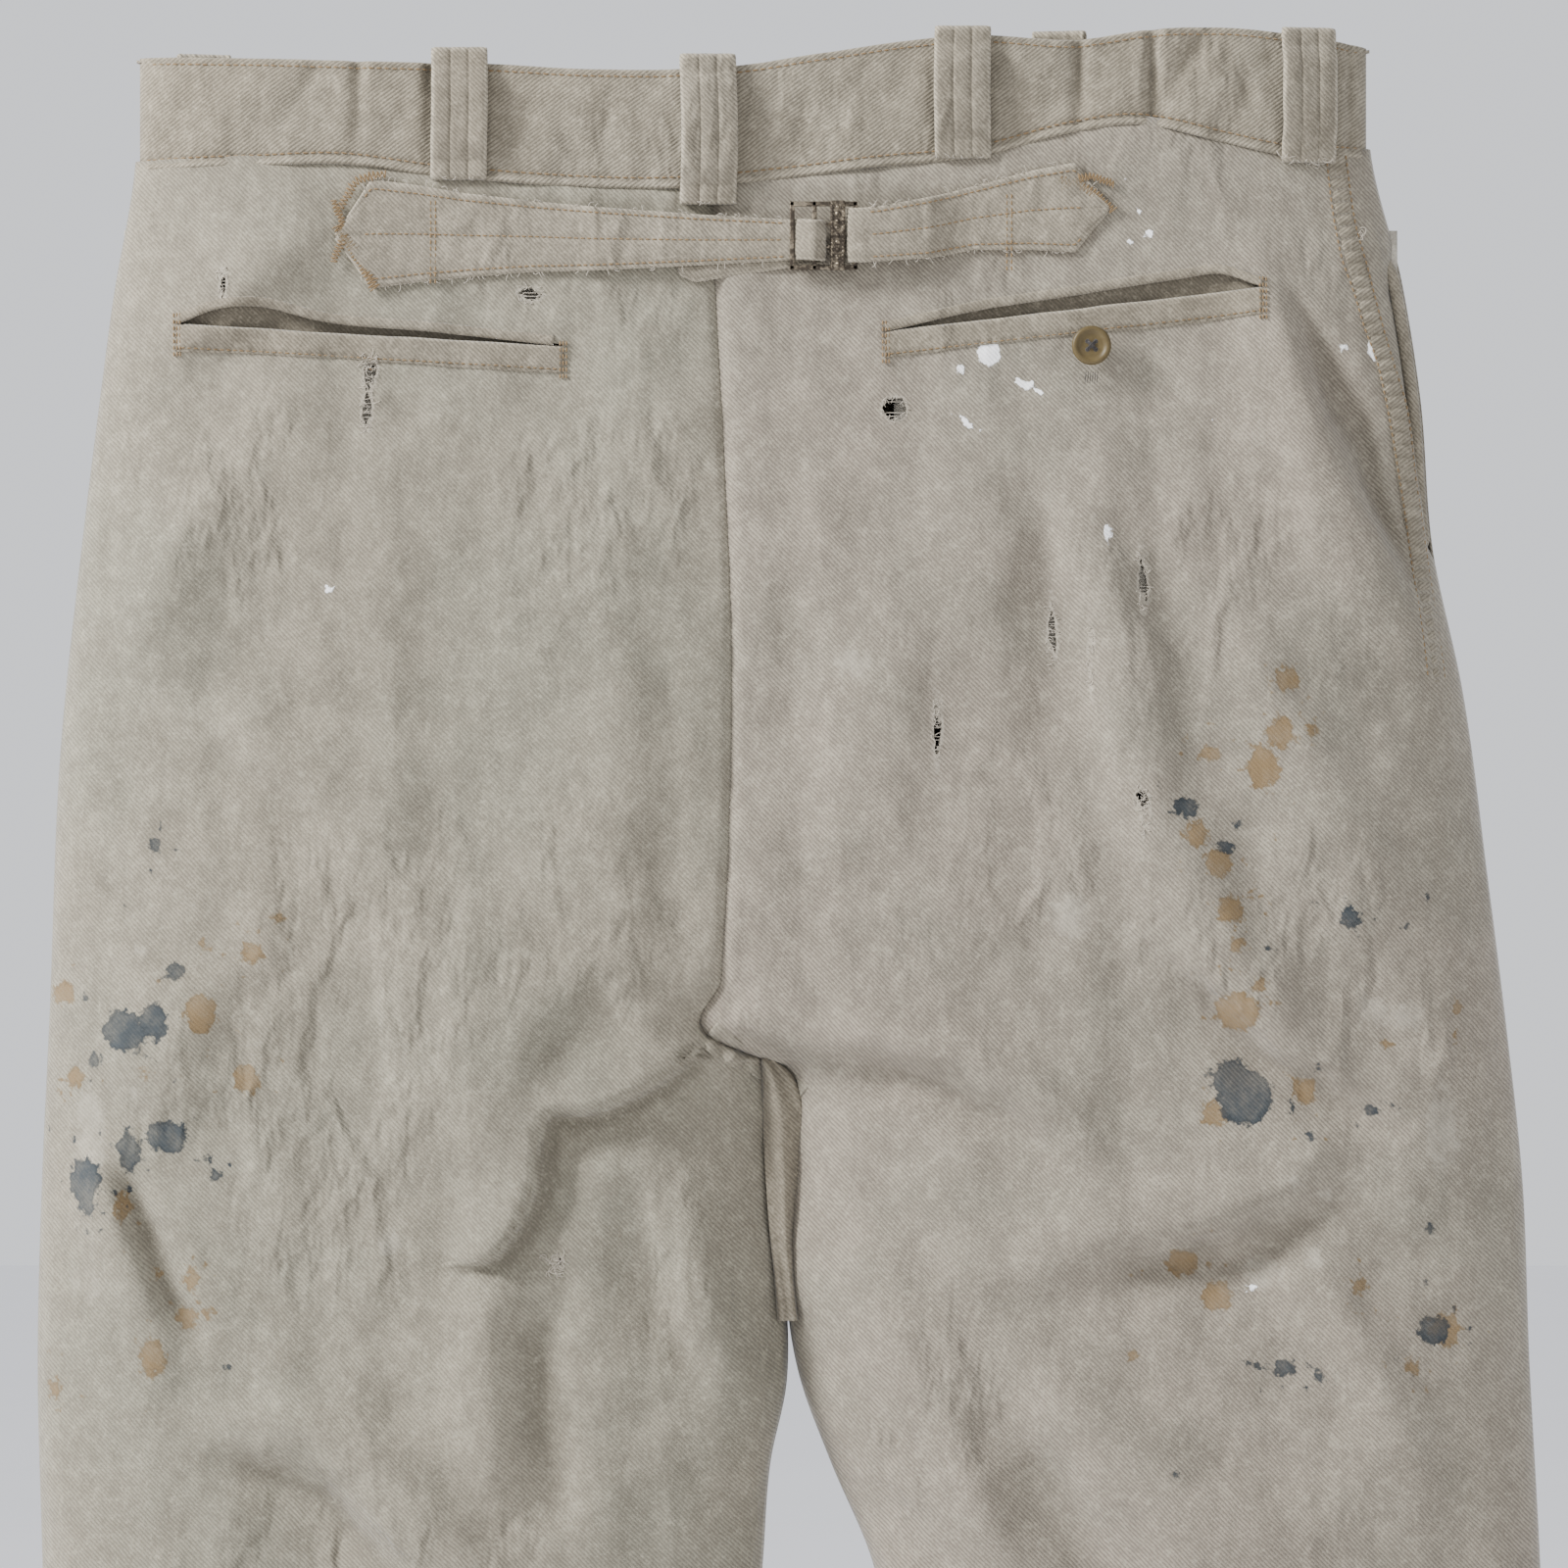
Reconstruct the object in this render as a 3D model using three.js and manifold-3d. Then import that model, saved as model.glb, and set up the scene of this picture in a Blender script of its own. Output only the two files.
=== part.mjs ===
// Wide-leg cotton work trousers with a cinch strap and buckle at the back, hung up by the waistband.
// Millimetres. +Z is up, +X is the wearer's right, and the back of the trousers faces -Y.
// The origin is the middle of the waistband's top edge, where a hanger holds them.
import * as THREE from 'three';
import { mergeVertices } from 'three/addons/utils/BufferGeometryUtils.js';
import Module from 'manifold-3d';

const wasm = await Module();
wasm.setup();

// ---- Driving dimensions ----
const clearance = 0.3; // between pieces that are sewn together
const clothWall = 1.6;
const waistWidth = 472; // flat, side fold to side fold
const seatWidth = 518;
const seatDrop = 190;
const thighWidth = 279; // one leg, just below the fork
const kneeWidth = 265;
const hemWidth = 230;
const forkDrop = 385;
const kneeDrop = 577;
const totalDrop = 1090;
const waistDepth = 17; // half the depth between the front and the back
const seatDepth = 34;
const seatDepthDrop = 300;
const hemDepth = 31;
const forkGap = 3; // between the two legs
const kneeGap = 44;
const hemGap = 94;
const turn = 15.5; // how far the hung garment is turned, which moves the centre seams
const forkCurl = 70;

const bandHeight = 44;
const bandWall = 2.4;
const liningWall = 1;
const liningDrop = 3;

const loopWidth = 21;
const loopHeight = 48;
const centreLoopHeight = 55;
const loopWall = 1.4;
const loopFoot = 4;
const beltGap = 6.6;
const loopSlope = 2.5;

const hemHeight = 36;
const hemWall = 1;

const slitHeight = 5;
const slitInset = 4; // of the slit's ends inside its bag
const backPocketDrop = 104;
const backPocketDepth = 165;
const weltHeight = 11;
const weltWall = 1.4;
const backBagWall = 1;
const backBagRoom = 6.6;
const sideMouthTop = 74;
const sideMouthHeight = 116;
const sideMouthGape = 11.5;
const sideBagBottom = 322;
const sideBagRoom = 7.4;

const flyWidth = 40;
const flyDrop = 210;
const shieldDepth = 8;
const shieldSeatDepth = 4.1;
const shieldWall = 1.2;
const buttonholeWall = 1.2;
const buttonholeLength = 17;
const buttonholeWidth = 2.5;
const flyButtonCount = 4;
const flyButtonPitch = 38;
const flyButtonTop = 72;
const flyButtonRadius = 7;
const waistButtonRadius = 8.5;
const waistButtonDrop = 20;
const shankLength = 1.3;
const shankRadius = 1.8;
const flyButtonWall = 2.4;

const pocketButtonRadius = 7.5;
const pocketButtonWall = 2.6;
const pocketButtonX = 129;
const pocketButtonDrop = 112;
const threadRadius = 1.4;
const threadLength = 2.6;
const threadHoleRadius = 0.9;
const threadHoleSpacing = 1.5;

const strapWall = 1.2;
const leftAnchorTipX = -159;
const leftAnchorWidth = 41;
const leftAnchorDrop = 70;
const leftEndWidth = 15;
const rightAnchorTipX = 136;
const rightAnchorWidth = 34;
const rightAnchorDrop = 59;
const rightEndWidth = 20.4;
const strapEndDrop = 70;
const buckleHeight = 26;
const buckleRail = 1.8;
const buckleStandOff = 6.4; // of the bars' middles from the cloth
const buckleLeftX = 15;
const strapBarX = 23.5;
const ornamentX = 32.4;
const ornamentWidth = 5.2;
const ornamentWall = 1.4;
const anchorBarX = 39;
const strapOverBar = 4; // how far the strap stands in front of its bar
const tailEndX = -28;
const tailSag = 11;

// ---- Materials ----
const cloth = (r, g, b, roughness) => () =>
  new THREE.MeshStandardMaterial({ color: new THREE.Color(r, g, b), roughness, metalness: 0 });
const twill = cloth(0.42, 0.36, 0.28, 0.92);
const pocketing = cloth(0.55, 0.51, 0.44, 0.95);
const oliveButton = cloth(0.12, 0.09, 0.05, 0.4);
const thread = cloth(0.05, 0.045, 0.04, 0.8);
const darkMetal = () =>
  new THREE.MeshStandardMaterial({ color: new THREE.Color(0.09, 0.07, 0.05), roughness: 0.45, metalness: 0.9 });

// ---- Lines down the garment ----
const mix = (a, b, t) => a + (b - a) * t;
const ease = (from, to, at) => {
  const t = THREE.MathUtils.clamp((at - from) / (to - from), 0, 1);
  return t * t * (3 - 2 * t);
};

// A smooth line through [place, value] points, in rising order of place.
function smoothLine(points) {
  const slopes = points.map((_, k) => {
    const before = points[Math.max(k - 1, 0)];
    const after = points[Math.min(k + 1, points.length - 1)];
    return (after[1] - before[1]) / (after[0] - before[0]);
  });
  return (at) => {
    const place = THREE.MathUtils.clamp(at, points[0][0], points[points.length - 1][0]);
    let k = 0;
    while (k < points.length - 2 && place > points[k + 1][0]) k += 1;
    const span = points[k + 1][0] - points[k][0];
    const t = (place - points[k][0]) / span;
    const rise = points[k + 1][1] - points[k][1];
    const bend = (slopes[k] * span - rise) * (1 - t) - (slopes[k + 1] * span - rise) * t;
    return points[k][1] + rise * t + bend * t * (1 - t);
  };
}

const gapAt = smoothLine([[forkDrop, forkGap], [forkDrop + 110, forkGap + 3], [kneeDrop, kneeGap], [totalDrop, hemGap]]);
const halfWidthAt = smoothLine([
  [0, waistWidth / 2],
  [seatDrop, seatWidth / 2],
  [forkDrop, thighWidth + forkGap / 2],
  [kneeDrop, kneeWidth + kneeGap / 2],
  [totalDrop, hemWidth + hemGap / 2],
]);
const leanAt = smoothLine([[0, 0], [seatDrop, 1], [forkDrop, 9.5], [kneeDrop, 14.5], [totalDrop, 15]]);
const splitAt = smoothLine([[forkDrop, 10.5], [forkDrop + 115, 14], [kneeDrop, 24.5], [totalDrop, 15]]);
const topEdgeShape = smoothLine([[-1, 0], [-0.64, -2.6], [-0.26, -5.6], [0, -3.5], [0.36, 7], [0.75, 10], [1, 4]]);
const topEdge = (x) => topEdgeShape((2 * x) / waistWidth);
const bandFoot = (x) => topEdge(x) - bandHeight;

const kinkDrop = bandHeight + 18; // where the seat starts to swell, below the belt loops
function depthAt(z) {
  const drop = -z;
  if (drop <= seatDepthDrop) {
    return mix(waistDepth, seatDepth, Math.max(0, drop - kinkDrop) / (seatDepthDrop - kinkDrop));
  }
  return mix(seatDepth, hemDepth, (drop - seatDepthDrop) / (totalDrop - seatDepthDrop));
}

// ---- The garment's wall ----
// Each half has columns from its side fold (0) to its inner edge (columns), at the back and at the front.
const columns = 14;
const LEFT = -1;
const RIGHT = 1;
const BACK = -1;
const FRONT = 1;

const outerX = (side, z) => leanAt(-z) + side * halfWidthAt(-z);
function innerX(side, layer, z) {
  if (-z >= forkDrop) return splitAt(-z) + (side * gapAt(-z)) / 2;
  const seam = mix(layer * turn, splitAt(forkDrop), ease(forkDrop - 160, forkDrop, -z));
  return seam + side * mix(clearance / 2, forkGap / 2, ease(forkDrop - forkCurl, forkDrop, -z));
}
function innerClosure(z) {
  const q = THREE.MathUtils.clamp((-z - forkDrop + forkCurl) / forkCurl, 0, 1);
  return 1 - Math.sqrt(1 - q * q);
}
const share = (column) => (1 - Math.cos((Math.PI * column) / columns)) / 2;
const roundEnd = (t) => Math.sqrt(Math.max(0, 1 - (1 - 2 * t) ** 4));

function wallPoint(side, layer, column, z) {
  const t = share(column);
  const x = mix(outerX(side, z), innerX(side, layer, z), t);
  const outer = t < 0.5 ? roundEnd(t) : 1;
  const inner = t > 0.5 ? mix(1, roundEnd(1 - t), innerClosure(z)) : 1;
  const y = Math.max(depthAt(z) * outer * inner, clearance / 2);
  return new THREE.Vector3(x, layer * y, z);
}

// The way into the garment, square to its wall.
function inward(side, layer, column, z) {
  if (column <= 0) return new THREE.Vector3(-side, 0, 0);
  if (column >= columns) {
    return innerClosure(z) > 0.5 ? new THREE.Vector3(side, 0, 0) : new THREE.Vector3(0, -layer, 0);
  }
  const step = 0.3;
  const across = wallPoint(side, layer, Math.min(column + step, columns), z)
    .sub(wallPoint(side, layer, Math.max(column - step, 0), z));
  const down = wallPoint(side, layer, column, z - 1).sub(wallPoint(side, layer, column, z + 1));
  const normal = across.cross(down).normalize();
  return normal.y * layer > 0 ? normal.negate() : normal;
}

const wallAt = (side, layer, column, z, depth) =>
  wallPoint(side, layer, column, z).addScaledVector(inward(side, layer, column, z), depth);

// The column at which the wall reaches x, and the wall's depth there.
function columnOf(side, layer, x, z) {
  const from = outerX(side, z);
  const t = THREE.MathUtils.clamp((x - from) / (innerX(side, layer, z) - from), 0, 1);
  return (Math.acos(1 - 2 * t) * columns) / Math.PI;
}
const sideOf = (layer, x) => (x < layer * turn ? LEFT : RIGHT);
const surfaceY = (layer, x, z) => {
  const side = sideOf(layer, x);
  return wallPoint(side, layer, columnOf(side, layer, x, z), z).y;
};

// ---- Building ----
function geometryOf(points, faces) {
  const geometry = new THREE.BufferGeometry();
  geometry.setAttribute('position', new THREE.Float32BufferAttribute(points.flatMap((p) => p.toArray()), 3));
  geometry.setIndex(faces);
  let volume = 0;
  for (let k = 0; k < faces.length; k += 3) {
    const [a, b, c] = [points[faces[k]], points[faces[k + 1]], points[faces[k + 2]]];
    volume += a.dot(new THREE.Vector3().crossVectors(b, c));
  }
  if (volume < 0) {
    for (let k = 0; k < faces.length; k += 3) {
      const first = faces[k];
      faces[k] = faces[k + 1];
      faces[k + 1] = first;
    }
    geometry.setIndex(faces);
  }
  return geometry;
}

// A closed sheet between two grids of points: pointAt(column, row, 0) outside and pointAt(column, row, 1) inside.
// A ring's last column meets its first.
function sheet(acrossCount, rowCount, pointAt, ring = false) {
  const width = ring ? acrossCount : acrossCount + 1;
  const points = [];
  for (const face of [0, 1]) {
    for (let row = 0; row <= rowCount; row += 1) {
      for (let column = 0; column < width; column += 1) points.push(pointAt(column, row, face));
    }
  }
  const at = (column, row, face) => (face * (rowCount + 1) + row) * width + (column % width);
  const faces = [];
  const quad = (a, b, c, d) => faces.push(a, b, c, a, c, d);
  for (let column = 0; column < acrossCount; column += 1) {
    for (let row = 0; row < rowCount; row += 1) {
      quad(at(column, row, 0), at(column + 1, row, 0), at(column + 1, row + 1, 0), at(column, row + 1, 0));
      quad(at(column, row, 1), at(column, row + 1, 1), at(column + 1, row + 1, 1), at(column + 1, row, 1));
    }
    quad(at(column, 0, 0), at(column, 0, 1), at(column + 1, 0, 1), at(column + 1, 0, 0));
    quad(at(column, rowCount, 0), at(column + 1, rowCount, 0), at(column + 1, rowCount, 1), at(column, rowCount, 1));
  }
  if (!ring) {
    for (let row = 0; row < rowCount; row += 1) {
      quad(at(0, row, 0), at(0, row + 1, 0), at(0, row + 1, 1), at(0, row, 1));
      quad(at(acrossCount, row, 0), at(acrossCount, row, 1), at(acrossCount, row + 1, 1), at(acrossCount, row + 1, 0));
    }
  }
  return geometryOf(points, faces);
}

function solidOf(geometry) {
  const plain = geometry.clone();
  plain.deleteAttribute('normal');
  plain.deleteAttribute('uv');
  const merged = mergeVertices(plain, 1e-4);
  return new wasm.Manifold(new wasm.Mesh({
    numProp: 3,
    vertProperties: new Float32Array(merged.attributes.position.array),
    triVerts: new Uint32Array(merged.index.array),
  }));
}

function geometryFrom(solid) {
  const { vertProperties, triVerts } = solid.getMesh();
  const geometry = new THREE.BufferGeometry();
  geometry.setAttribute('position', new THREE.BufferAttribute(vertProperties, 3));
  geometry.setIndex(new THREE.BufferAttribute(triVerts, 1));
  return geometry;
}

const block = (low, high) => {
  const size = high.map((value, k) => value - low[k]);
  return new THREE.BoxGeometry(...size).translate(...low.map((value, k) => value + size[k] / 2));
};
const cut = (geometry, ...tools) =>
  geometryFrom(tools.reduce((solid, tool) => solid.subtract(solidOf(tool)), solidOf(geometry)));
const join = (...shapes) => geometryFrom(shapes.map(solidOf).reduce((all, solid) => all.add(solid)));
const overlapOf = (geometry, tool) => geometryFrom(solidOf(geometry).intersect(solidOf(tool)));

const trousers = new THREE.Group();
function add(name, geometry, material) {
  const mesh = new THREE.Mesh(geometry, material());
  mesh.name = name;
  trousers.add(mesh);
}
const sideName = (side) => (side === LEFT ? 'left' : 'right');

// ---- Panels ----
// Row 0 follows the waistband's foot. The rows of the seat close up towards the fork.
const firstRowDrop = kinkDrop; // so that the waist's straight part ends on a row
const seatRows = 12;
const legRows = 10;
const panelRows = seatRows + legRows + 1;
const REACH = 400; // past the garment on any side, for cutting tools

function rowZ(row) {
  if (row <= seatRows + 1) {
    return -mix(firstRowDrop, forkDrop, Math.sin(((row - 1) / seatRows) * (Math.PI / 2)));
  }
  return -mix(forkDrop, totalDrop, ((row - seatRows - 1) / legRows) ** 1.35);
}
const rowNear = (drop) => {
  let best = 1;
  for (let row = 2; row <= panelRows; row += 1) {
    if (Math.abs(rowZ(row) + drop) < Math.abs(rowZ(best) + drop)) best = row;
  }
  return best;
};

function panelSheet(side, layer) {
  return sheet(columns, panelRows, (column, row, face) => {
    if (row > 0) return wallAt(side, layer, column, rowZ(row), face * clothWall);
    const seam = bandFoot(wallPoint(side, layer, column, 0).x) - clearance;
    return wallAt(side, layer, column, 0, face * clothWall).setZ(seam);
  });
}

// Pockets: the columns that each bag spans, counted from the side fold.
const backBags = { [LEFT]: [3, 9], [RIGHT]: [4, 9] };
const backBagRows = [1, rowNear(backPocketDrop + backPocketDepth)];
const sideBagColumns = [2, 8];
const sideBagRows = [1, rowNear(sideBagBottom)];

function slitTool(side) {
  const [first, last] = backBags[side];
  const z = -backPocketDrop;
  const ends = [first, last].map((column) => wallPoint(side, BACK, column, z).x).sort((a, b) => a - b);
  const y = -depthAt(z);
  return block(
    [ends[0] + slitInset, y - REACH, z - slitHeight / 2],
    [ends[1] - slitInset, y + clothWall + backBagWall + backBagRoom / 2, z + slitHeight / 2],
  );
}
function mouthTool(side) {
  const low = -sideMouthTop - sideMouthHeight;
  const xs = [side * (waistWidth / 2 - 30), side * REACH].sort((a, b) => a - b);
  return block([xs[0], 0, low], [xs[1], sideMouthGape, -sideMouthTop]);
}
const flyHingeX = turn - flyWidth;
const flyTool = (grow) =>
  block([flyHingeX - grow, 0, -flyDrop - grow], [turn + flyWidth, REACH, bandHeight]);

for (const side of [LEFT, RIGHT]) {
  add(`back_panel_${sideName(side)}`, cut(panelSheet(side, BACK), slitTool(side)), twill);
}
const frontLeft = cut(panelSheet(LEFT, FRONT), mouthTool(LEFT));
add('front_panel_left', cut(frontLeft, flyTool(clearance)), twill);
add('front_panel_right', cut(panelSheet(RIGHT, FRONT), mouthTool(RIGHT)), twill);
add('fly_flap', overlapOf(frontLeft, flyTool(0)), twill);

// ---- Waistband: one strip for each side, from the centre back round the side fold to the fly ----
function bandSheet(side, depth, wall, top, foot) {
  return sheet(2 * columns, 1, (place, row, face) => {
    const layer = place <= columns ? BACK : FRONT;
    const column = Math.abs(place - columns);
    const point = wallAt(side, layer, column, 0, depth + face * wall);
    if (column === 0) point.y = 0;
    const { x } = wallPoint(side, layer, column, 0);
    point.z = row === 0 ? topEdge(x) - top : bandFoot(x) - foot;
    return point;
  });
}
const bandLeft = bandSheet(LEFT, 0, bandWall, 0, 0);
add('waistband_left', cut(bandLeft, flyTool(clearance)), twill);
add('waistband_right', bandSheet(RIGHT, 0, bandWall, 0, 0), twill);
add('waistband_tab', overlapOf(bandLeft, flyTool(0)), twill);
const liningDepth = bandWall + clearance;
add(
  'waistband_lining_left',
  cut(bandSheet(LEFT, liningDepth, liningWall, liningDrop, liningDrop), flyTool(clearance)),
  pocketing,
);
add('waistband_lining_right', bandSheet(RIGHT, liningDepth, liningWall, liningDrop, liningDrop), pocketing);

// ---- Belt loops: strips that bow off the waistband, sewn at both ends ----
function loopGeometry(height) {
  const half = height / 2;
  const bow = half - loopFoot - loopSlope;
  const inside = [[half, 0], [half - loopFoot, 0], [bow, beltGap - clearance]];
  const profile = [...inside, ...inside.map(([v, out]) => [-v, out]).reverse()];
  const outline = new THREE.Shape([
    ...profile.map(([v, out]) => new THREE.Vector2(out + clearance, v)),
    ...profile.map(([v, out]) => new THREE.Vector2(out + clearance + loopWall, v)).reverse(),
  ]);
  const strip = new THREE.ExtrudeGeometry(outline, { depth: loopWidth, bevelEnabled: false });
  return strip.translate(0, 0, -loopWidth / 2);
}
// The outline's X points out of the garment and its Y points up.
function addLoop(name, layer, x, height, drop) {
  const side = sideOf(layer, x);
  const column = columnOf(side, layer, x, 0);
  const out = inward(side, layer, column, 0).negate();
  out.z = 0;
  out.normalize();
  const up = new THREE.Vector3(0, 0, 1);
  const along = new THREE.Vector3().crossVectors(out, up);
  const place = new THREE.Matrix4().makeBasis(out, up, along);
  place.setPosition(wallPoint(side, layer, column, 0).setZ(topEdge(x) - bandHeight / 2 - drop));
  add(name, loopGeometry(height).applyMatrix4(place), twill);
}
addLoop('belt_loop_back_left', BACK, -112, loopHeight, 0);
addLoop('belt_loop_back_centre', BACK, -17, centreLoopHeight, 3);
addLoop('belt_loop_back_right', BACK, 80, loopHeight, 0);
addLoop('belt_loop_side_right', BACK, 212, loopHeight, 0);
addLoop('belt_loop_side_left', FRONT, -212, loopHeight, 0);
addLoop('belt_loop_front_left', FRONT, -105, loopHeight, 0);
addLoop('belt_loop_front_right', FRONT, 118, loopHeight, 0);

// ---- Hems: the turned-up band inside each leg's end ----
for (const side of [LEFT, RIGHT]) {
  const hem = sheet(2 * columns, 1, (place, row, face) => {
    const layer = place <= columns ? BACK : FRONT;
    const column = columns - Math.abs(place - columns);
    const z = -totalDrop + (row === 0 ? hemHeight : 0);
    const point = wallAt(side, layer, column, z, clothWall + clearance + face * hemWall);
    if (column === 0 || column === columns) point.y = 0;
    return point;
  }, true);
  add(`hem_${sideName(side)}`, hem, twill);
}

// ---- Pocket bags: flat pouches that lie on the inside of a panel ----
function pouch(side, layer, [first, last], [top, foot], room) {
  const outerDepth = clothWall + clearance;
  const whole = sheet(last - first, foot - top, (column, row, face) =>
    wallAt(side, layer, first + column, rowZ(top + row), outerDepth + face * (room + 2 * backBagWall)));
  const edge = 0.25; // of a column, which the seams at the bag's edges take
  const hollow = sheet(6, 6, (column, row, face) => {
    const z = mix(rowZ(top) - backBagWall * 2, rowZ(foot) + backBagWall * 2, row / 6);
    const depth = outerDepth + backBagWall + face * room;
    return wallAt(side, layer, mix(first + edge, last - edge, column / 6), z, depth);
  });
  return cut(whole, hollow);
}
for (const side of [LEFT, RIGHT]) {
  const bag = pouch(side, BACK, backBags[side], backBagRows, backBagRoom);
  add(`back_pocket_bag_${sideName(side)}`, cut(bag, slitTool(side)), pocketing);
}
// The side pocket's bag is open towards the side seam, over the length of the seam's mouth.
for (const side of [LEFT, RIGHT]) {
  const [first] = sideBagColumns;
  const inset = 0.4;
  const mouth = sheet(2, 4, (column, row, face) => {
    const z = -sideMouthTop - (sideMouthHeight * row) / 4;
    const depth = clothWall + clearance + backBagWall + mix(inset, sideBagRoom - inset, face);
    return wallAt(side, FRONT, first - 0.5 + 0.55 * column, z, depth);
  });
  const bag = pouch(side, FRONT, sideBagColumns, sideBagRows, sideBagRoom);
  add(`side_pocket_bag_${sideName(side)}`, cut(bag, mouth), pocketing);
}

// ---- Back pocket welts: a folded strip below each slit, on the outside ----
for (const side of [LEFT, RIGHT]) {
  const [first, last] = backBags[side];
  const weltColumns = 12;
  const top = -backPocketDrop - slitHeight / 2;
  const welt = sheet(weltColumns, 1, (column, row, face) => {
    const place = mix(first + 0.2, last - 0.2, column / weltColumns);
    return wallAt(side, BACK, place, top - row * weltHeight, -clearance - (1 - face) * weltWall);
  });
  add(`back_pocket_welt_${sideName(side)}`, welt, twill);
}

// ---- Fly: the shield behind, and the strip of buttonholes under the flap ----
const shieldFrom = flyHingeX + 2.5;
const shieldTo = turn + 15;
const shieldColumns = 8;
const shieldZ = [-5, -kinkDrop, -flyDrop - 5];
const shield = sheet(shieldColumns, 2, (column, row, face) => {
  const x = mix(shieldFrom, shieldTo, column / shieldColumns);
  const z = shieldZ[row];
  const depth = mix(shieldDepth, shieldSeatDepth, ease(turn - 13, turn + 4, x));
  return new THREE.Vector3(x, depthAt(z) - depth - face * shieldWall, z);
});
add('fly_shield', shield, twill);

const flyButtonX = turn - flyWidth / 2;
const flyButtonZ = (k) => -flyButtonTop - k * flyButtonPitch;
const stripFrom = flyHingeX + 2.5;
const stripTo = turn - 2.5;
const stripTop = -bandHeight - 8;
const stripFoot = -flyDrop + 6;
const stripZ = [stripTop, -kinkDrop, stripFoot];
const strip = sheet(1, 2, (column, row, face) => {
  const x = column === 0 ? stripFrom : stripTo;
  const z = stripZ[row];
  return new THREE.Vector3(x, depthAt(z) - clothWall - clearance - face * buttonholeWall, z);
});
const buttonholes = Array.from({ length: flyButtonCount }, (_, k) => {
  const z = flyButtonZ(k);
  return block(
    [flyButtonX - buttonholeLength / 2, 0, z - buttonholeWidth / 2],
    [flyButtonX + buttonholeLength / 2, REACH, z + buttonholeWidth / 2],
  );
});
add('fly_buttonhole_strip', cut(strip, ...buttonholes), pocketing);

// ---- Buttons ----
// A dished disc, its axis on Y and its back at y = 0.
const discProfile = (radius, wall) => [
  [0, 0], [radius * 0.8, 0], [radius, wall * 0.35], [radius, wall * 0.7], [radius * 0.88, wall],
  [radius * 0.62, wall * 0.72], [0, wall * 0.66],
];
const latheOf = (profile, segments) =>
  new THREE.LatheGeometry(profile.map(([r, y]) => new THREE.Vector2(r, y)), segments);

function shankButton(radius) {
  const [, ...rim] = discProfile(radius, flyButtonWall);
  const profile = [
    [0, clearance - shankLength],
    [shankRadius, clearance - shankLength],
    [shankRadius, 0],
    ...rim,
  ];
  return latheOf(profile, 20);
}
function addFlyButton(name, radius, z) {
  const y = depthAt(z) - shieldDepth + shankLength;
  add(name, shankButton(radius).translate(flyButtonX, y, z), oliveButton);
}
addFlyButton('waist_button', waistButtonRadius, -waistButtonDrop);
for (let k = 0; k < flyButtonCount; k += 1) addFlyButton(`fly_button_${k + 1}`, flyButtonRadius, flyButtonZ(k));

// The back pocket's button hangs on a thread shank under the right slit.
const pocketButtonZ = -pocketButtonDrop;
const weltFaceY = surfaceY(BACK, pocketButtonX, pocketButtonZ) - clearance - weltWall;
const threadHoles = [[-1, -1], [-1, 1], [1, -1], [1, 1]].map(([right, up]) =>
  new THREE.CylinderGeometry(threadHoleRadius, threadHoleRadius, 4 * pocketButtonWall, 10)
    .translate(right * threadHoleSpacing, 0, up * threadHoleSpacing));
const pocketButton = cut(latheOf(discProfile(pocketButtonRadius, pocketButtonWall), 24), ...threadHoles)
  .rotateX(Math.PI)
  .translate(pocketButtonX, weltFaceY - threadLength - 2 * clearance, pocketButtonZ);
add('back_pocket_button', pocketButton, oliveButton);
const shank = new THREE.CylinderGeometry(threadRadius, threadRadius, threadLength, 10)
  .translate(pocketButtonX, weltFaceY - clearance * 1.5 - threadLength / 2, pocketButtonZ);
add('back_pocket_button_thread', shank, thread);

// ---- Cinch strap and buckle ----
// Bars stand at one depth, so the buckle is flat.
const barY = surfaceY(BACK, buckleLeftX, -strapEndDrop) - buckleStandOff;

// A ribbon along [x, y, z, width] stops, each a middle point of the ribbon's wall.
// A stop whose y is a function of z lies on the cloth across its whole width.
function ribbon(stops) {
  return sheet(stops.length - 1, 1, (k, row, face) => {
    const level = (stop) => {
      const z = stop[2] + (0.5 - row) * stop[3];
      return new THREE.Vector3(stop[0], typeof stop[1] === 'function' ? stop[1](z) : stop[1], z);
    };
    const point = level(stops[k]);
    const before = level(stops[Math.max(k - 1, 0)]);
    const after = level(stops[Math.min(k + 1, stops.length - 1)]);
    const along = new THREE.Vector2(after.x - before.x, after.y - before.y).normalize();
    const shift = (face - 0.5) * strapWall;
    return point.add(new THREE.Vector3(-along.y * shift, along.x * shift, 0));
  });
}
// A half turn round a bar from in front of it to behind it; way is +1 when the fold points to +X.
const halfTurn = (x, way, front, behind, z, width, steps = 6) =>
  Array.from({ length: steps + 1 }, (_, k) => {
    const angle = (Math.PI * k) / steps;
    const radius = (front + behind) / 2;
    const y = barY + (behind - front) / 2 - radius * Math.cos(angle);
    return [x + way * radius * Math.sin(angle) * 0.9, y, z, width];
  });

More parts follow.
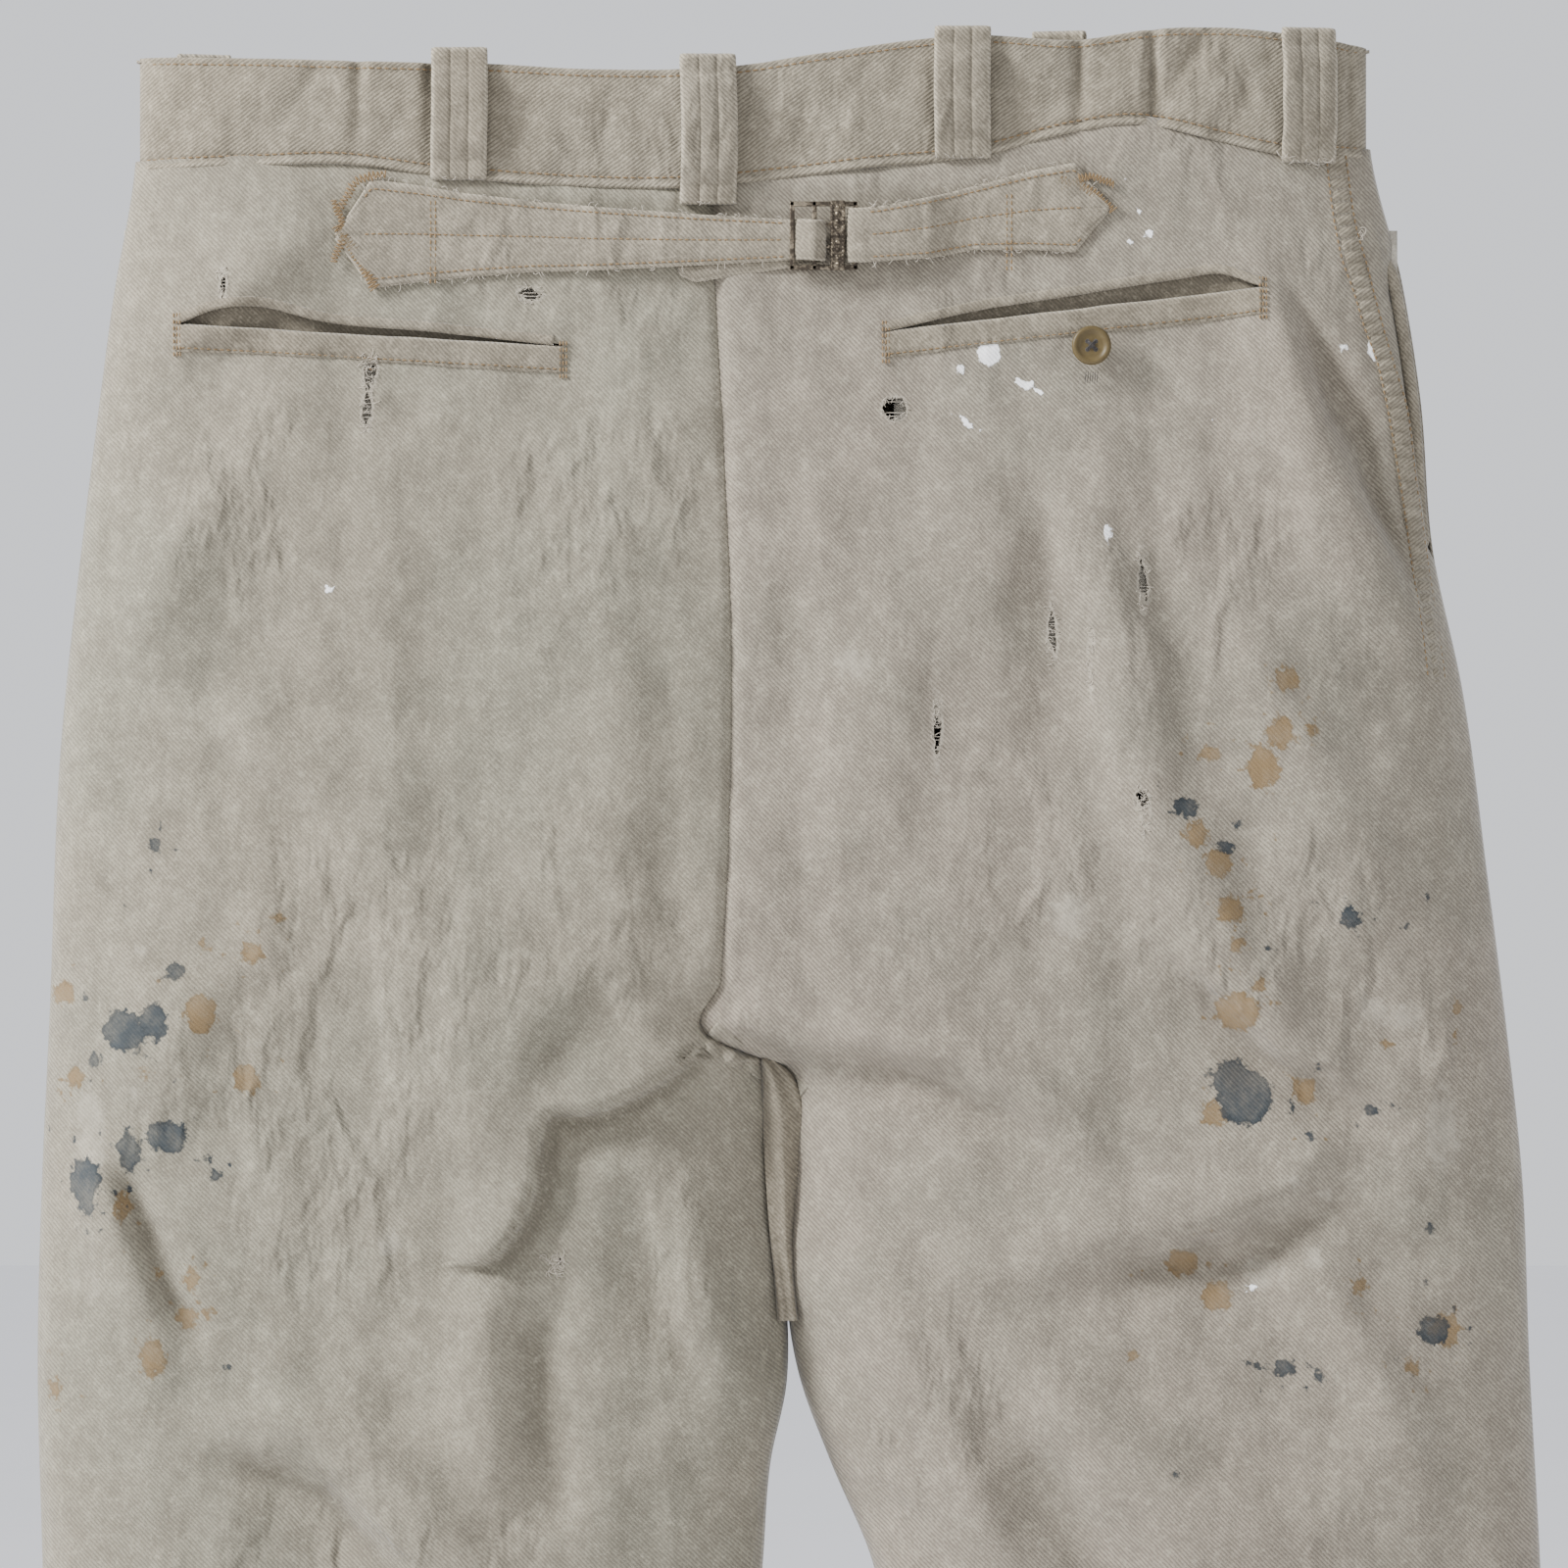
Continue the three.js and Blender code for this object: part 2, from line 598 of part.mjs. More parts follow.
const onCloth = (x, z) => surfaceY(BACK, x, z) - 1.5 * clearance - strapWall / 2;
function anchorStops(tipX, way, drop, wide, narrow) {
  const stop = (inset, width) => {
    const x = tipX + way * inset;
    return [x, (z) => onCloth(x, z), -drop, width];
  };
  return [stop(0, 3), stop(13, wide), stop(30, mix(wide, narrow, 0.16)), stop(38, mix(wide, narrow, 0.25))];
}
const behindBar = 2.2;
const secondBehindBar = 4.1;
const leftStops = [
  ...anchorStops(leftAnchorTipX, 1, leftAnchorDrop, leftAnchorWidth, leftEndWidth),
  [-60, mix(onCloth(-60, -strapEndDrop), barY + behindBar, 0.6), -strapEndDrop - 1, 24],
  [0, barY + behindBar, -strapEndDrop - 1.5, leftEndWidth + 1],
  [buckleLeftX + 1, barY + behindBar, -strapEndDrop - 1.5, leftEndWidth],
  ...halfTurn(strapBarX, 1, strapOverBar, behindBar, -strapEndDrop - 2, leftEndWidth),
  [buckleLeftX + 2, barY + secondBehindBar, -strapEndDrop - 3, leftEndWidth],
  [-8, barY + secondBehindBar, -strapEndDrop - tailSag * 0.7, leftEndWidth - 1],
  [tailEndX + 4, barY + secondBehindBar, -strapEndDrop - tailSag, leftEndWidth - 3],
  [tailEndX, barY + secondBehindBar, -strapEndDrop - tailSag, 5],
];
add('cinch_strap_left', ribbon(leftStops), twill);

const foldEndX = anchorBarX + 22;
const rightStops = [
  ...anchorStops(rightAnchorTipX, -1, rightAnchorDrop, rightAnchorWidth, rightEndWidth),
  [foldEndX + 8, barY - 1, mix(-rightAnchorDrop, -strapEndDrop, 0.7), rightEndWidth + 3],
  [anchorBarX + 4, barY - behindBar, -strapEndDrop, rightEndWidth],
  ...halfTurn(anchorBarX, -1, behindBar, behindBar, -strapEndDrop, rightEndWidth),
  [anchorBarX + 5, barY + behindBar, -strapEndDrop, rightEndWidth],
  [foldEndX, barY + behindBar, -strapEndDrop + 2, rightEndWidth],
];
add('cinch_strap_right', ribbon(rightStops), twill);

const halfRail = buckleRail / 2;
const bar = (x, width, y, wall) => block(
  [x - width / 2, y - wall / 2, -strapEndDrop - buckleHeight / 2],
  [x + width / 2, y + wall / 2, -strapEndDrop + buckleHeight / 2],
);
const rail = (up) => {
  const z = -strapEndDrop + up * (buckleHeight / 2 - halfRail);
  return block([buckleLeftX - halfRail, barY - halfRail, z - halfRail], [anchorBarX + halfRail, barY + halfRail, z + halfRail]);
};
const buckle = join(
  rail(1),
  rail(-1),
  bar(buckleLeftX, buckleRail, barY, buckleRail),
  bar(strapBarX, buckleRail, barY, buckleRail),
  bar(ornamentX, ornamentWidth, barY - halfRail, ornamentWall),
  bar(anchorBarX, buckleRail, barY, buckleRail),
);
add('cinch_buckle', buckle, darkMetal);

export default trousers;
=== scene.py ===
"""Cinch-back cotton work trousers, hung by the waistband: cloth, stitching, straps, buttons and wear."""
import math

import bmesh
import bpy
import numpy as np
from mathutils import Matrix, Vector


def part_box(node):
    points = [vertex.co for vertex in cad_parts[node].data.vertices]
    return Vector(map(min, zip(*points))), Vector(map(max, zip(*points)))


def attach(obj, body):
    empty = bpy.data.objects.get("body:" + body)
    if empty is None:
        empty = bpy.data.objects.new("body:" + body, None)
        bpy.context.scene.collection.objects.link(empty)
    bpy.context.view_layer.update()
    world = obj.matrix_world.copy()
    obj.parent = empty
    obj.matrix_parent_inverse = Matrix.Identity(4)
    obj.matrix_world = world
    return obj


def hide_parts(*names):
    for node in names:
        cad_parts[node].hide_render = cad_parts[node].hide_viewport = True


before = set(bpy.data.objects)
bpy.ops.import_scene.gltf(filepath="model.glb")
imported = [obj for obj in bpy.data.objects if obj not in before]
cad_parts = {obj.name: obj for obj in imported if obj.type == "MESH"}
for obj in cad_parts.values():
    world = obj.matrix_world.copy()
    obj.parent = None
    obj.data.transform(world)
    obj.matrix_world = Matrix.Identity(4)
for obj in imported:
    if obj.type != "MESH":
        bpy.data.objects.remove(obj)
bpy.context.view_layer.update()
MM = 0.001  # everything below is worked out in millimetres
LEFT, RIGHT, BACK, FRONT = -1, 1, -1, 1
UNSPOTTED = -30.0  # the mark of cloth that no spot reaches


def box_mm(node):
    """The low and high corners of a node's box, in millimetres."""
    low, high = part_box(node)
    return np.array(low) / MM, np.array(high) / MM


# ---------------------------------------------------------------- sizes, from the frame
band_low, band_high = box_mm("waistband_right")
left_low = box_mm("waistband_left")[0]
panel_low = box_mm("back_panel_left")[0]
WAIST_DEPTH = -band_low[1]
SEAT_DEPTH = -panel_low[1]
LENGTH = -panel_low[2]
BAND = 44.0
CLIPS = (-137, 139)
FORK = 385.0
FORK_CURL = 70.0
KINK = BAND + 18
HEM_DEPTH = 31.0
FLY_DROP, FLY_HINGE, FLY_EDGE = 210.0, -24.5, 15.4
rng = np.random.default_rng(7)


def ease(low, high, at):
    """0 below low, 1 above high and a soft step between them."""
    t = np.clip((at - low) / (high - low), 0, 1)
    return t * t * (3 - 2 * t)


def line(points, at):
    """A smooth line through (place, value) points, in rising order of place."""
    p = np.array(points, float)
    place, value = p[:, 0], p[:, 1]
    slope = (np.gradient(value, place) if len(p) > 2
             else np.full(len(p), (value[-1] - value[0]) / (place[-1] - place[0])))
    at = np.clip(np.asarray(at, float), place[0], place[-1])
    k = np.clip(np.searchsorted(place, at, side="right") - 1, 0, len(p) - 2)
    span = place[k + 1] - place[k]
    t = (at - place[k]) / span
    rise = value[k + 1] - value[k]
    bend = (slope[k] * span - rise) * (1 - t) - (slope[k + 1] * span - rise) * t
    return value[k] + rise * t + bend * t * (1 - t)


def left_edge(z):
    return line([(-LENGTH, -262), (-577, -272.7), (-502, -274.5), (-428, -272.7), (-372, -270.1),
                 (-260, -265.2),
                 (-190, -257.8), (-130, -250.4), (-93, -245.5), (-41, -237), (0, -236), (20, -236)], z)


def right_edge(z):
    return line([(-LENGTH, 292), (-577, 302), (-502, 298), (-428, 295), (-372, 289), (-316, 282),
                 (-242, 272),
                 (-190, 261), (-130, 256), (-86, 249), (-37, 237), (0, 235), (20, 235)], z)


def left_inner(z):
    return line([(-LENGTH, -32), (-760, -14), (-577, 3), (-539, 6), (-510, 12), (-476, 12), (-439, 8.5),
                 (-385, 6)], z)


def right_inner(z):
    return line([(-LENGTH, 62), (-760, 60), (-640, 55), (-577, 46.5), (-539, 30.5), (-506, 18.5),
                 (-457, 13), (-420, 15.6),
                 (-396, 15), (-389, 11), (-385, 6)], z)


def centre_seam(layer, z):
    if layer == FRONT:
        return line([(-385, 10), (-300, 13), (-200, 15), (20, 15.5)], z)
    return line([(-385, 6), (-377, -14), (-353, -12), (-278, -8.5), (-205, -8.5), (-149, -11), (-58, -15.5),
                 (20, -16)], z)


def closure(z):
    q = np.clip((-z - FORK + FORK_CURL) / FORK_CURL, 0, 1)
    return 1 - np.sqrt(1 - q * q)


def depth_at(z):
    drop = -z
    upper = WAIST_DEPTH + (SEAT_DEPTH - WAIST_DEPTH) * np.clip((drop - KINK) / (300 - KINK), 0, 1)
    return np.where(drop <= 300, upper, SEAT_DEPTH + (HEM_DEPTH - SEAT_DEPTH) * (drop - 300)
                    / (LENGTH - 300))


def round_end(t):
    return np.sqrt(np.maximum(0, 1 - (1 - 2 * t) ** 4))


def outer_x(side, z):
    """Where the side fold of one side runs."""
    return left_edge(z) if side == LEFT else right_edge(z)


def inner_x(side, layer, z):
    legs = left_inner(z) if side == LEFT else right_inner(z)
    return np.where(-z >= FORK, legs, centre_seam(layer, z))


def base_depth(side, layer, x, z):
    """Half the garment's depth at a place on one half, before any fold."""
    from_x, to_x = outer_x(side, z), inner_x(side, layer, z)
    t = np.clip((x - from_x) / (to_x - from_x), 0, 1)
    outer = np.where(t < 0.5, round_end(t), 1)
    inner = np.where(t > 0.5, 1 + (round_end(1 - t) - 1) * closure(z), 1)
    return depth_at(z) * outer * inner


# ---------------------------------------------------------------- folds
def along(points, x, z):
    """Distance from a drawn line, how far along it (0 to 1) the nearest place is, and which side of it."""
    p = np.array(points, float)
    lengths = np.hypot(*(p[1:] - p[:-1]).T)
    total, done = lengths.sum(), 0.0
    best = np.full(np.shape(x), 1e9)
    share, hand = np.zeros(np.shape(x)), np.ones(np.shape(x))
    for (ax, az), (bx, bz), length in zip(p[:-1], p[1:], lengths):
        dx, dz = (bx - ax) / length, (bz - az) / length
        s = np.clip((x - ax) * dx + (z - az) * dz, 0, length)
        away = np.hypot(x - ax - dx * s, z - az - dz * s)
        near = away < best
        best = np.where(near, away, best)
        share = np.where(near, (done + s) / total, share)
        hand = np.where(near, np.sign((x - ax) * dz - (z - az) * dx), hand)
        done += length
    return best, share, hand


def smooth_points(points, steps=8):
    """A curve through the drawn points."""
    p = np.array(points, float)
    if len(p) < 3:
        return p
    s = np.concatenate([[0], np.cumsum(np.hypot(*(p[1:] - p[:-1]).T))])
    at = np.linspace(0, s[-1], (len(p) - 1) * steps + 1)
    return np.column_stack([line(np.column_stack([s, p[:, k]]), at) for k in range(2)])


def ridge(x, z, points, width, height, ends=0.42):
    """A fold that rises quickly on one side of its line and falls away slowly on the other."""
    away, share, hand = along(smooth_points(points, 3), x, z)
    taper = ease(0, ends, share) * ease(0, ends, 1 - share)
    spread = width * np.where(hand > 0, 1.55, 0.9) * (0.75 + 0.5 * share)
    return height * taper * np.exp(-np.abs(away / spread) ** 1.7)


def cliff(x, z, points, height, reach, side, edge=3.0, ends=0.12):
    """Cloth that stands out on one side of a line and falls away behind it over reach."""
    away, share, hand = along(smooth_points(points, 4), x, z)
    signed = away * hand * side
    taper = ease(0, ends, share) * ease(0, ends, 1 - share)
    fall = np.exp(-np.maximum(signed, 0) / reach) * (1 - ease(0.6 * reach, 1.9 * reach, away))
    return height * taper * np.where(signed > -edge, ease(-edge, edge, signed) * fall, 0)


WAVES = [(rng.uniform(0, 2 * math.pi), rng.uniform(0, 2 * math.pi), rng.uniform(0.7, 1.3))
         for _ in range(40)]


def waves(x, z, length, first, count=6):
    """Smooth, aimless swell of about the given length."""
    total = np.zeros(np.broadcast(x, z).shape)
    for turn, phase, size in WAVES[first:first + count]:
        total += np.sin((x * math.cos(turn) + z * math.sin(turn)) * 2 * math.pi / (length * size) + phase)
    return total / count


SWAG = [(-15, -373), (-30, -389), (-48, -399), (-62, -404), (-77, -405), (-81, -416), (-82, -430),
        (-88, -446),
        (-97, -458), (-118, -462)]
RIGHT_LEG_LIP = [(-14, -362), (2, -374), (17, -381), (19, -391), (15.6, -420), (12.5, -457), (14, -484)]

BACK_RIDGES = (
    ((131, -120), (135, -190), (142, -234), (153, -279), (179, -335), (209, -383), (235, -402), (276, -434),
     13, 6),
    ((112, -150), (116, -210), (125, -262), (140, -310), 10, -3),
    ((186, -58), (200, -104), (224, -160), (246, -212), (262, -256), 10, 5.5),
    ((206, -86), (222, -130), (242, -176), (258, -220), 6, -6),
    ((170, -180), (196, -236), (226, -300), (262, -352), 14, 3.5),
    ((150, -330), (178, -368), (216, -398), (262, -420), 8, -5),
    ((228, -411), (179, -439), (138, -448), (71, -474), 11, 6),
    ((238, -432), (180, -459), (120, -470), 10, -4),
    ((24, -366), (60, -377), (98, -392), (140, -430), 8, 4.5),
    ((24, -378), (60, -390), (96, -408), (120, -430), 7, -4),
    ((94, -491), (146, -539), (198, -562), (250, -570), 14, 6),
    ((80, -512), (118, -551), (140, -590), (150, -640), 11, -5),
    ((44, -430), (60, -500), (90, -560), (100, -620), 14, 3.5),
    ((210, -450), (236, -500), (262, -560), 12, 3.5),
    ((60, -190), (52, -250), (60, -320), 16, 2.5),
    ((-150, -62), (-200, -93), (-224, -130), 16, 4),
    ((-180, -150), (-222, -196), (-246, -250), 18, 3),
    ((-214, -236), (-182, -268), (-144, -279), (-96, -282), 12, 3),
    ((-216, -252), (-186, -284), (-140, -296), 10, -2.5),
    ((-60, -150), (-52, -230), (-58, -320), (-74, -370), 20, 3),
    ((-120, -300), (-110, -350), (-102, -410), 16, 3),
    ((-56, -360), (-84, -372), (-100, -400), (-104, -430), 12, 5),
    ((-28, -404), (-22, -450), (-6, -500), (-2, -560), 12, 3.5),
    ((-52, -418), (-40, -470), (-22, -530), 10, -3),
    ((-85, -450), (-100, -498), (-92, -560), 13, 4.5),
    ((-66, -455), (-82, -510), (-72, -570), 9, -4),
    ((-252, -405), (-245, -446), (-230, -484), (-219, -506), 9, 5),
    ((-240, -420), (-228, -462), (-208, -498), 9, -5),
    ((-219, -510), (-155, -532), (-111, -569), (-96, -610), 12, 6),
    ((-214, -530), (-160, -556), (-130, -600), 10, -5),
    ((-190, -330), (-214, -372), (-232, -420), 15, 3),
    ((-160, -620), (-150, -760), (-158, -900), 22, 4),
    ((170, -640), (180, -780), (168, -930), 24, 4.5),
    ((-90, -700), (-84, -840), (-96, -980), 18, -3.5),
    ((112, -700), (120, -850), (110, -990), 18, -4),
    ((-220, -800), (-160, -860), (-100, -880), 16, 3.5),
    ((250, -760), (190, -820), (130, -836), 16, 3.5),
)
FRONT_RIDGES = (
    ((-200, -60), (-150, -140), (-90, -240), (-40, -330), 16, 5),
    ((205, -60), (150, -150), (96, -240), (50, -330), 16, 5),
    ((-20, -330), (-70, -352), (-150, -360), (-220, -330), 12, 4.5),
    ((40, -330), (90, -352), (160, -358), (232, -330), 12, 4.5),
    ((-60, -400), (-110, -470), (-190, -520), 14, 5),
    ((80, -400), (130, -470), (210, -520), 14, 5),
    ((-140, -180), (-146, -420), (-140, -700), (-146, -1000), 12, 4),
    ((160, -180), (168, -420), (172, -700), (176, -1000), 12, 4),
    ((-190, -560), (-150, -640), (-90, -690), 15, 4.5),
    ((220, -560), (180, -640), (120, -690), 15, 4.5),
    ((-210, -760), (-190, -900), (-200, -1010), 20, -3.5),
    ((230, -760), (220, -900), (226, -1010), 20, -3.5),
)


MOST_RISE = 9.5


def relief(layer, x, z):
    """How far the folds lift the cloth off its plain shape."""
    z = np.asarray(z, float)
    x = np.asarray(x, float)
    total = np.zeros(np.broadcast(x, z).shape)
    bent_x = x + 7.0 * waves(x, z, 90, 3) + 2.5 * waves(x, z, 34, 9)
    bent_z = z + 7.0 * waves(x, z, 100, 14) + 2.5 * waves(x, z, 30, 21)
    for *points, width, height in (BACK_RIDGES if layer == BACK else FRONT_RIDGES):
        total += 2.3 * ridge(bent_x, bent_z, points, width, height)
    seed = 0 if layer == BACK else 18
    body = ease(54, 110, -z)
    total += body * (3.4 * waves(x, z, 150, seed) + 2.4 * waves(x, z, 62, seed + 6)
                     + 1.2 * waves(x, z, 26, seed + 12)
                     + 0.3 * waves(x, z, 12, seed + 16))
    if layer == BACK:
        total += cliff(x, z, SWAG, 8.0, 20, 1)
        total += cliff(x, z, SWAG, -10.0, 16, -1, ends=0.2)
        total += cliff(x, z, RIGHT_LEG_LIP, 4.5, 15, -1)
        total -= (1.6 * np.exp(-((x - centre_seam(BACK, z)) / 2.6) ** 2) * ease(46, 60, -z)
                  * ease(-386, -372, z))
    else:
        by_fly = (1 - ease(2, 26, np.abs(x - FLY_HINGE))) * ease(-228, -212, z)
        total *= 1 - by_fly
    return MOST_RISE * np.tanh(total / MOST_RISE)


LOOK_X, LOOK_Z = np.arange(-300.0, 330.0, 2.0), np.arange(-1100.0, 4.0, 2.0)
FOLDS = {}


def fold_at(layer, x, z):
    """The folds' height at a place, read between points of a 2 mm grid that is worked out once."""
    if layer not in FOLDS:
        FOLDS[layer] = relief(layer, *np.meshgrid(LOOK_X, LOOK_Z))
    table = FOLDS[layer]
    across = np.clip((x - LOOK_X[0]) / 2, 0, len(LOOK_X) - 1.001)
    down = np.clip((z - LOOK_Z[0]) / 2, 0, len(LOOK_Z) - 1.001)
    a, b = across.astype(int), down.astype(int)
    u, v = across - a, down - b
    return (table[b, a] * (1 - u) * (1 - v) + table[b, a + 1] * u * (1 - v)
            + table[b + 1, a] * (1 - u) * v + table[b + 1, a + 1] * u * v)


def side_of(layer, x, z):
    middle = np.where(-z >= FORK, (left_inner(z) + right_inner(z)) / 2, centre_seam(layer, z))
    return np.where(x < middle, LEFT, RIGHT)


def surface(layer, x, z):
    """The cloth's y at a place seen from that side."""
    x, z = np.broadcast_arrays(np.asarray(x, float), np.asarray(z, float))
    depth = np.where(side_of(layer, x, z) == LEFT, base_depth(LEFT, layer, x, z),
                     base_depth(RIGHT, layer, x, z))
    fade = np.clip(depth / 12, 0, 1)
    return layer * (depth + fold_at(layer, x, z) * fade)


# ---------------------------------------------------------------- meshes
def link(name, verts, faces, material, body="garment", node=(), smooth=True, attributes=None):
    """Puts one piece, given in millimetres, on its body, in place of its nodes and with its slot."""
    mesh = bpy.data.meshes.new(name)
    mesh.from_pydata((np.asarray(verts, float) * MM).tolist(), [],
                     [tuple(int(i) for i in f) for f in faces])
    mesh.validate()
    if smooth:
        mesh.shade_smooth()
    for key, values in (attributes or {}).items():
        mesh.attributes.new(key, "FLOAT", "POINT").data.foreach_set("value",
                                                                    np.asarray(values, np.float32).ravel())
    mesh.materials.append(material)
    piece = bpy.data.objects.new(name, mesh)
    bpy.context.scene.collection.objects.link(piece)
    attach(piece, body)
    if node:
        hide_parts(*node)
    return piece


def grid_faces(rows, cols, keep=None, ring=False):
    """The quads of a grid of points; keep leaves some out, and ring closes the rows."""
    r, c = np.meshgrid(np.arange(rows - 1), np.arange(cols if ring else cols - 1), indexing="ij")
    n = (c + 1) % cols
    quads = np.stack([r * cols + c, r * cols + n, (r + 1) * cols + n, (r + 1) * cols + c], -1)
    return quads[keep] if keep is not None else quads.reshape(-1, 4)


def thicken(piece, wall, offset=-1.0, rim=True):
    """Gives a sheet its wall."""
    solid = piece.modifiers.new("cloth", "SOLIDIFY")
    solid.thickness, solid.offset, solid.use_rim = wall * MM, offset, rim
    solid.use_even_offset = False
    return piece


def flip_out(quads, layer):
    """Grids run from side fold to middle and down; this turns their faces out of the garment."""
    return quads[:, ::-1] if layer > 0 else quads


def compact(points, faces, attributes=None):
    """Drops the points that no face uses."""
    used = np.unique(faces)
    place = np.zeros(len(points), int)
    place[used] = np.arange(len(used))
    return points[used], place[faces], {k: np.ravel(v)[used] for k, v in (attributes or {}).items()}


# ---------------------------------------------------------------- shading
def group_of(name, inputs, outputs):
    tree = bpy.data.node_groups.new(name, "ShaderNodeTree")
    for label, kind, value in inputs:
        socket = tree.interface.new_socket(label, in_out="INPUT", socket_type=kind)
        if value is not None:
            socket.default_value = value
    for label, kind in outputs:
        tree.interface.new_socket(label, in_out="OUTPUT", socket_type=kind)
    return tree, tree.nodes.new("NodeGroupInput").outputs, tree.nodes.new("NodeGroupOutput").inputs


class Wiring:
    """Short calls for shader nodes in one tree."""

    def __init__(self, tree):
        self.tree = tree

    def node(self, kind, **values):
        made = self.tree.nodes.new(kind)
        for key, value in values.items():
            setattr(made, key, value)
        return made

    def put(self, socket, value):
        if isinstance(value, bpy.types.NodeSocket):
            self.tree.links.new(value, socket)
        elif value is not None:
            socket.default_value = value

    def math(self, operation, a, b=None, c=None, clamp=False):
        made = self.node("ShaderNodeMath", operation=operation, use_clamp=clamp)
        for socket, value in zip(made.inputs, (a, b, c)):
            self.put(socket, value)
        return made.outputs[0]

    def noise(self, vector, scale, detail=2.0, roughness=0.5):
        made = self.node("ShaderNodeTexNoise")
        self.put(made.inputs["Vector"], vector)
        self.put(made.inputs["Scale"], scale)
        made.inputs["Detail"].default_value = detail
        made.inputs["Roughness"].default_value = roughness
        return made.outputs["Fac"]

    def mix(self, factor, a, b, blend="MIX"):
        made = self.node("ShaderNodeMix", data_type="RGBA", blend_type=blend)
        self.put(made.inputs["Factor"], factor)
        self.put(made.inputs[6], a)
        self.put(made.inputs[7], b)
        return made.outputs[2]

    def ramp(self, value, low, high):
        made = self.node("ShaderNodeMapRange", interpolation_type="SMOOTHSTEP")
        self.put(made.inputs["Value"], value)
        self.put(made.inputs["From Min"], low)
        self.put(made.inputs["From Max"], high)
        return made.outputs["Result"]

    def attribute(self, name):
        return self.node("ShaderNodeAttribute", attribute_name=name).outputs["Fac"]

    def group(self, tree, **values):
        made = self.node("ShaderNodeGroup", node_tree=tree)
        for key, value in values.items():
            self.put(made.inputs[key.replace("_", " ")], value)
        return made.outputs


def twill_group():
    """Slanting ribs of yarn: Height for a bump, and Line, dark between the ribs."""
    tree, given, out = group_of(
        "twill weave",
        [("Vector", "NodeSocketVector", None), ("Lean", "NodeSocketVector", (0.7, 0, 0.7)),
         ("Pitch", "NodeSocketFloat", 0.0013)],
        [("Height", "NodeSocketFloat"), ("Line", "NodeSocketFloat")])
    w = Wiring(tree)
    drift = w.math("MULTIPLY", w.noise(given["Vector"], 90.0, 1.0), 0.0011)
    dot = w.node("ShaderNodeVectorMath", operation="DOT_PRODUCT")
    w.put(dot.inputs[0], given["Vector"])
    w.put(dot.inputs[1], given["Lean"])
    place = w.math("ADD", dot.outputs["Value"], drift)
    turns = w.math("MULTIPLY", w.math("DIVIDE", place, given["Pitch"]), 2 * math.pi)
    rib = w.math("MULTIPLY_ADD", w.math("SINE", turns), 0.5, 0.5)
    yarn = w.noise(given["Vector"], 1900.0, 2.0, 0.6)
    w.put(out["Height"], w.math("MULTIPLY_ADD", yarn, 0.45, rib))
    w.put(out["Line"], w.math("POWER", w.math("SUBTRACT", 1.0, rib), 2.0))
    return tree


def edge_group():
    """A ragged edge for a stain that is stored as a distance in millimetres, positive inside."""
    tree, given, out = group_of(
        "ragged edge",
        [("Vector", "NodeSocketVector", None), ("Distance", "NodeSocketFloat", 0.0),
         ("Rag", "NodeSocketFloat", 2.0),
         ("Soft", "NodeSocketFloat", 1.0)],
        [("Mask", "NodeSocketFloat")])
    w = Wiring(tree)
    wobble = w.math("SUBTRACT", w.noise(given["Vector"], 330.0, 3.0, 0.6), 0.5)
    moved = w.math("MULTIPLY_ADD", wobble, w.math("MULTIPLY", given["Rag"], 2.4), given["Distance"])
    w.put(out["Mask"], w.ramp(moved, 0.0, given["Soft"]))
    return tree


def mottle_group():
    """Patches of fading, slow, broad and quick, and fine specks, each from 0 to 1."""
    tree, given, out = group_of(
        "mottled fading", [("Vector", "NodeSocketVector", None)],
        [("Slow", "NodeSocketFloat"), ("Quick", "NodeSocketFloat"), ("Broad", "NodeSocketFloat"),
         ("Speck", "NodeSocketFloat")])
    w = Wiring(tree)
    w.put(out["Broad"], w.ramp(w.noise(given["Vector"], 14.0, 5.0, 0.6), 0.48, 0.66))
    w.put(out["Slow"], w.ramp(w.noise(given["Vector"], 7.0, 3.0, 0.55), 0.32, 0.68))
    w.put(out["Quick"], w.ramp(w.noise(given["Vector"], 60.0, 5.0, 0.7), 0.36, 0.66))
    w.put(out["Speck"], w.ramp(w.noise(given["Vector"], 520.0, 2.0, 0.7), 0.66, 0.74))
    return tree


def crumple_group():
    """Height of the small creases that handling leaves: soft dents crossed by thin, sharp-backed wrinkles."""
    tree, given, out = group_of(
        "crumpled cloth", [("Vector", "NodeSocketVector", None), ("Amount", "NodeSocketFloat", 1.0)],
        [("Height", "NodeSocketFloat")])
    w = Wiring(tree)
    stretch = w.node("ShaderNodeMapping")
    w.put(stretch.inputs["Vector"], given["Vector"])
    stretch.inputs["Scale"].default_value = (1.0, 1.0, 0.45)
    stretch.inputs["Rotation"].default_value = (0.0, 0.5, 0.0)
    dents = w.noise(stretch.outputs["Vector"], 38.0, 3.0, 0.55)
    fold = w.math("ABSOLUTE", w.math("SUBTRACT", w.noise(stretch.outputs["Vector"], 26.0, 4.0, 0.5), 0.5))
    wrinkle = w.math("SUBTRACT", 1.0, w.ramp(fold, 0.0, 0.10))
    gate = w.ramp(w.noise(given["Vector"], 9.0, 2.0), 0.46, 0.64)
    height = w.math("MULTIPLY_ADD", w.math("MULTIPLY", wrinkle, gate), 0.55, dents)
    w.put(out["Height"], w.math("MULTIPLY", height, given["Amount"]))
    return tree


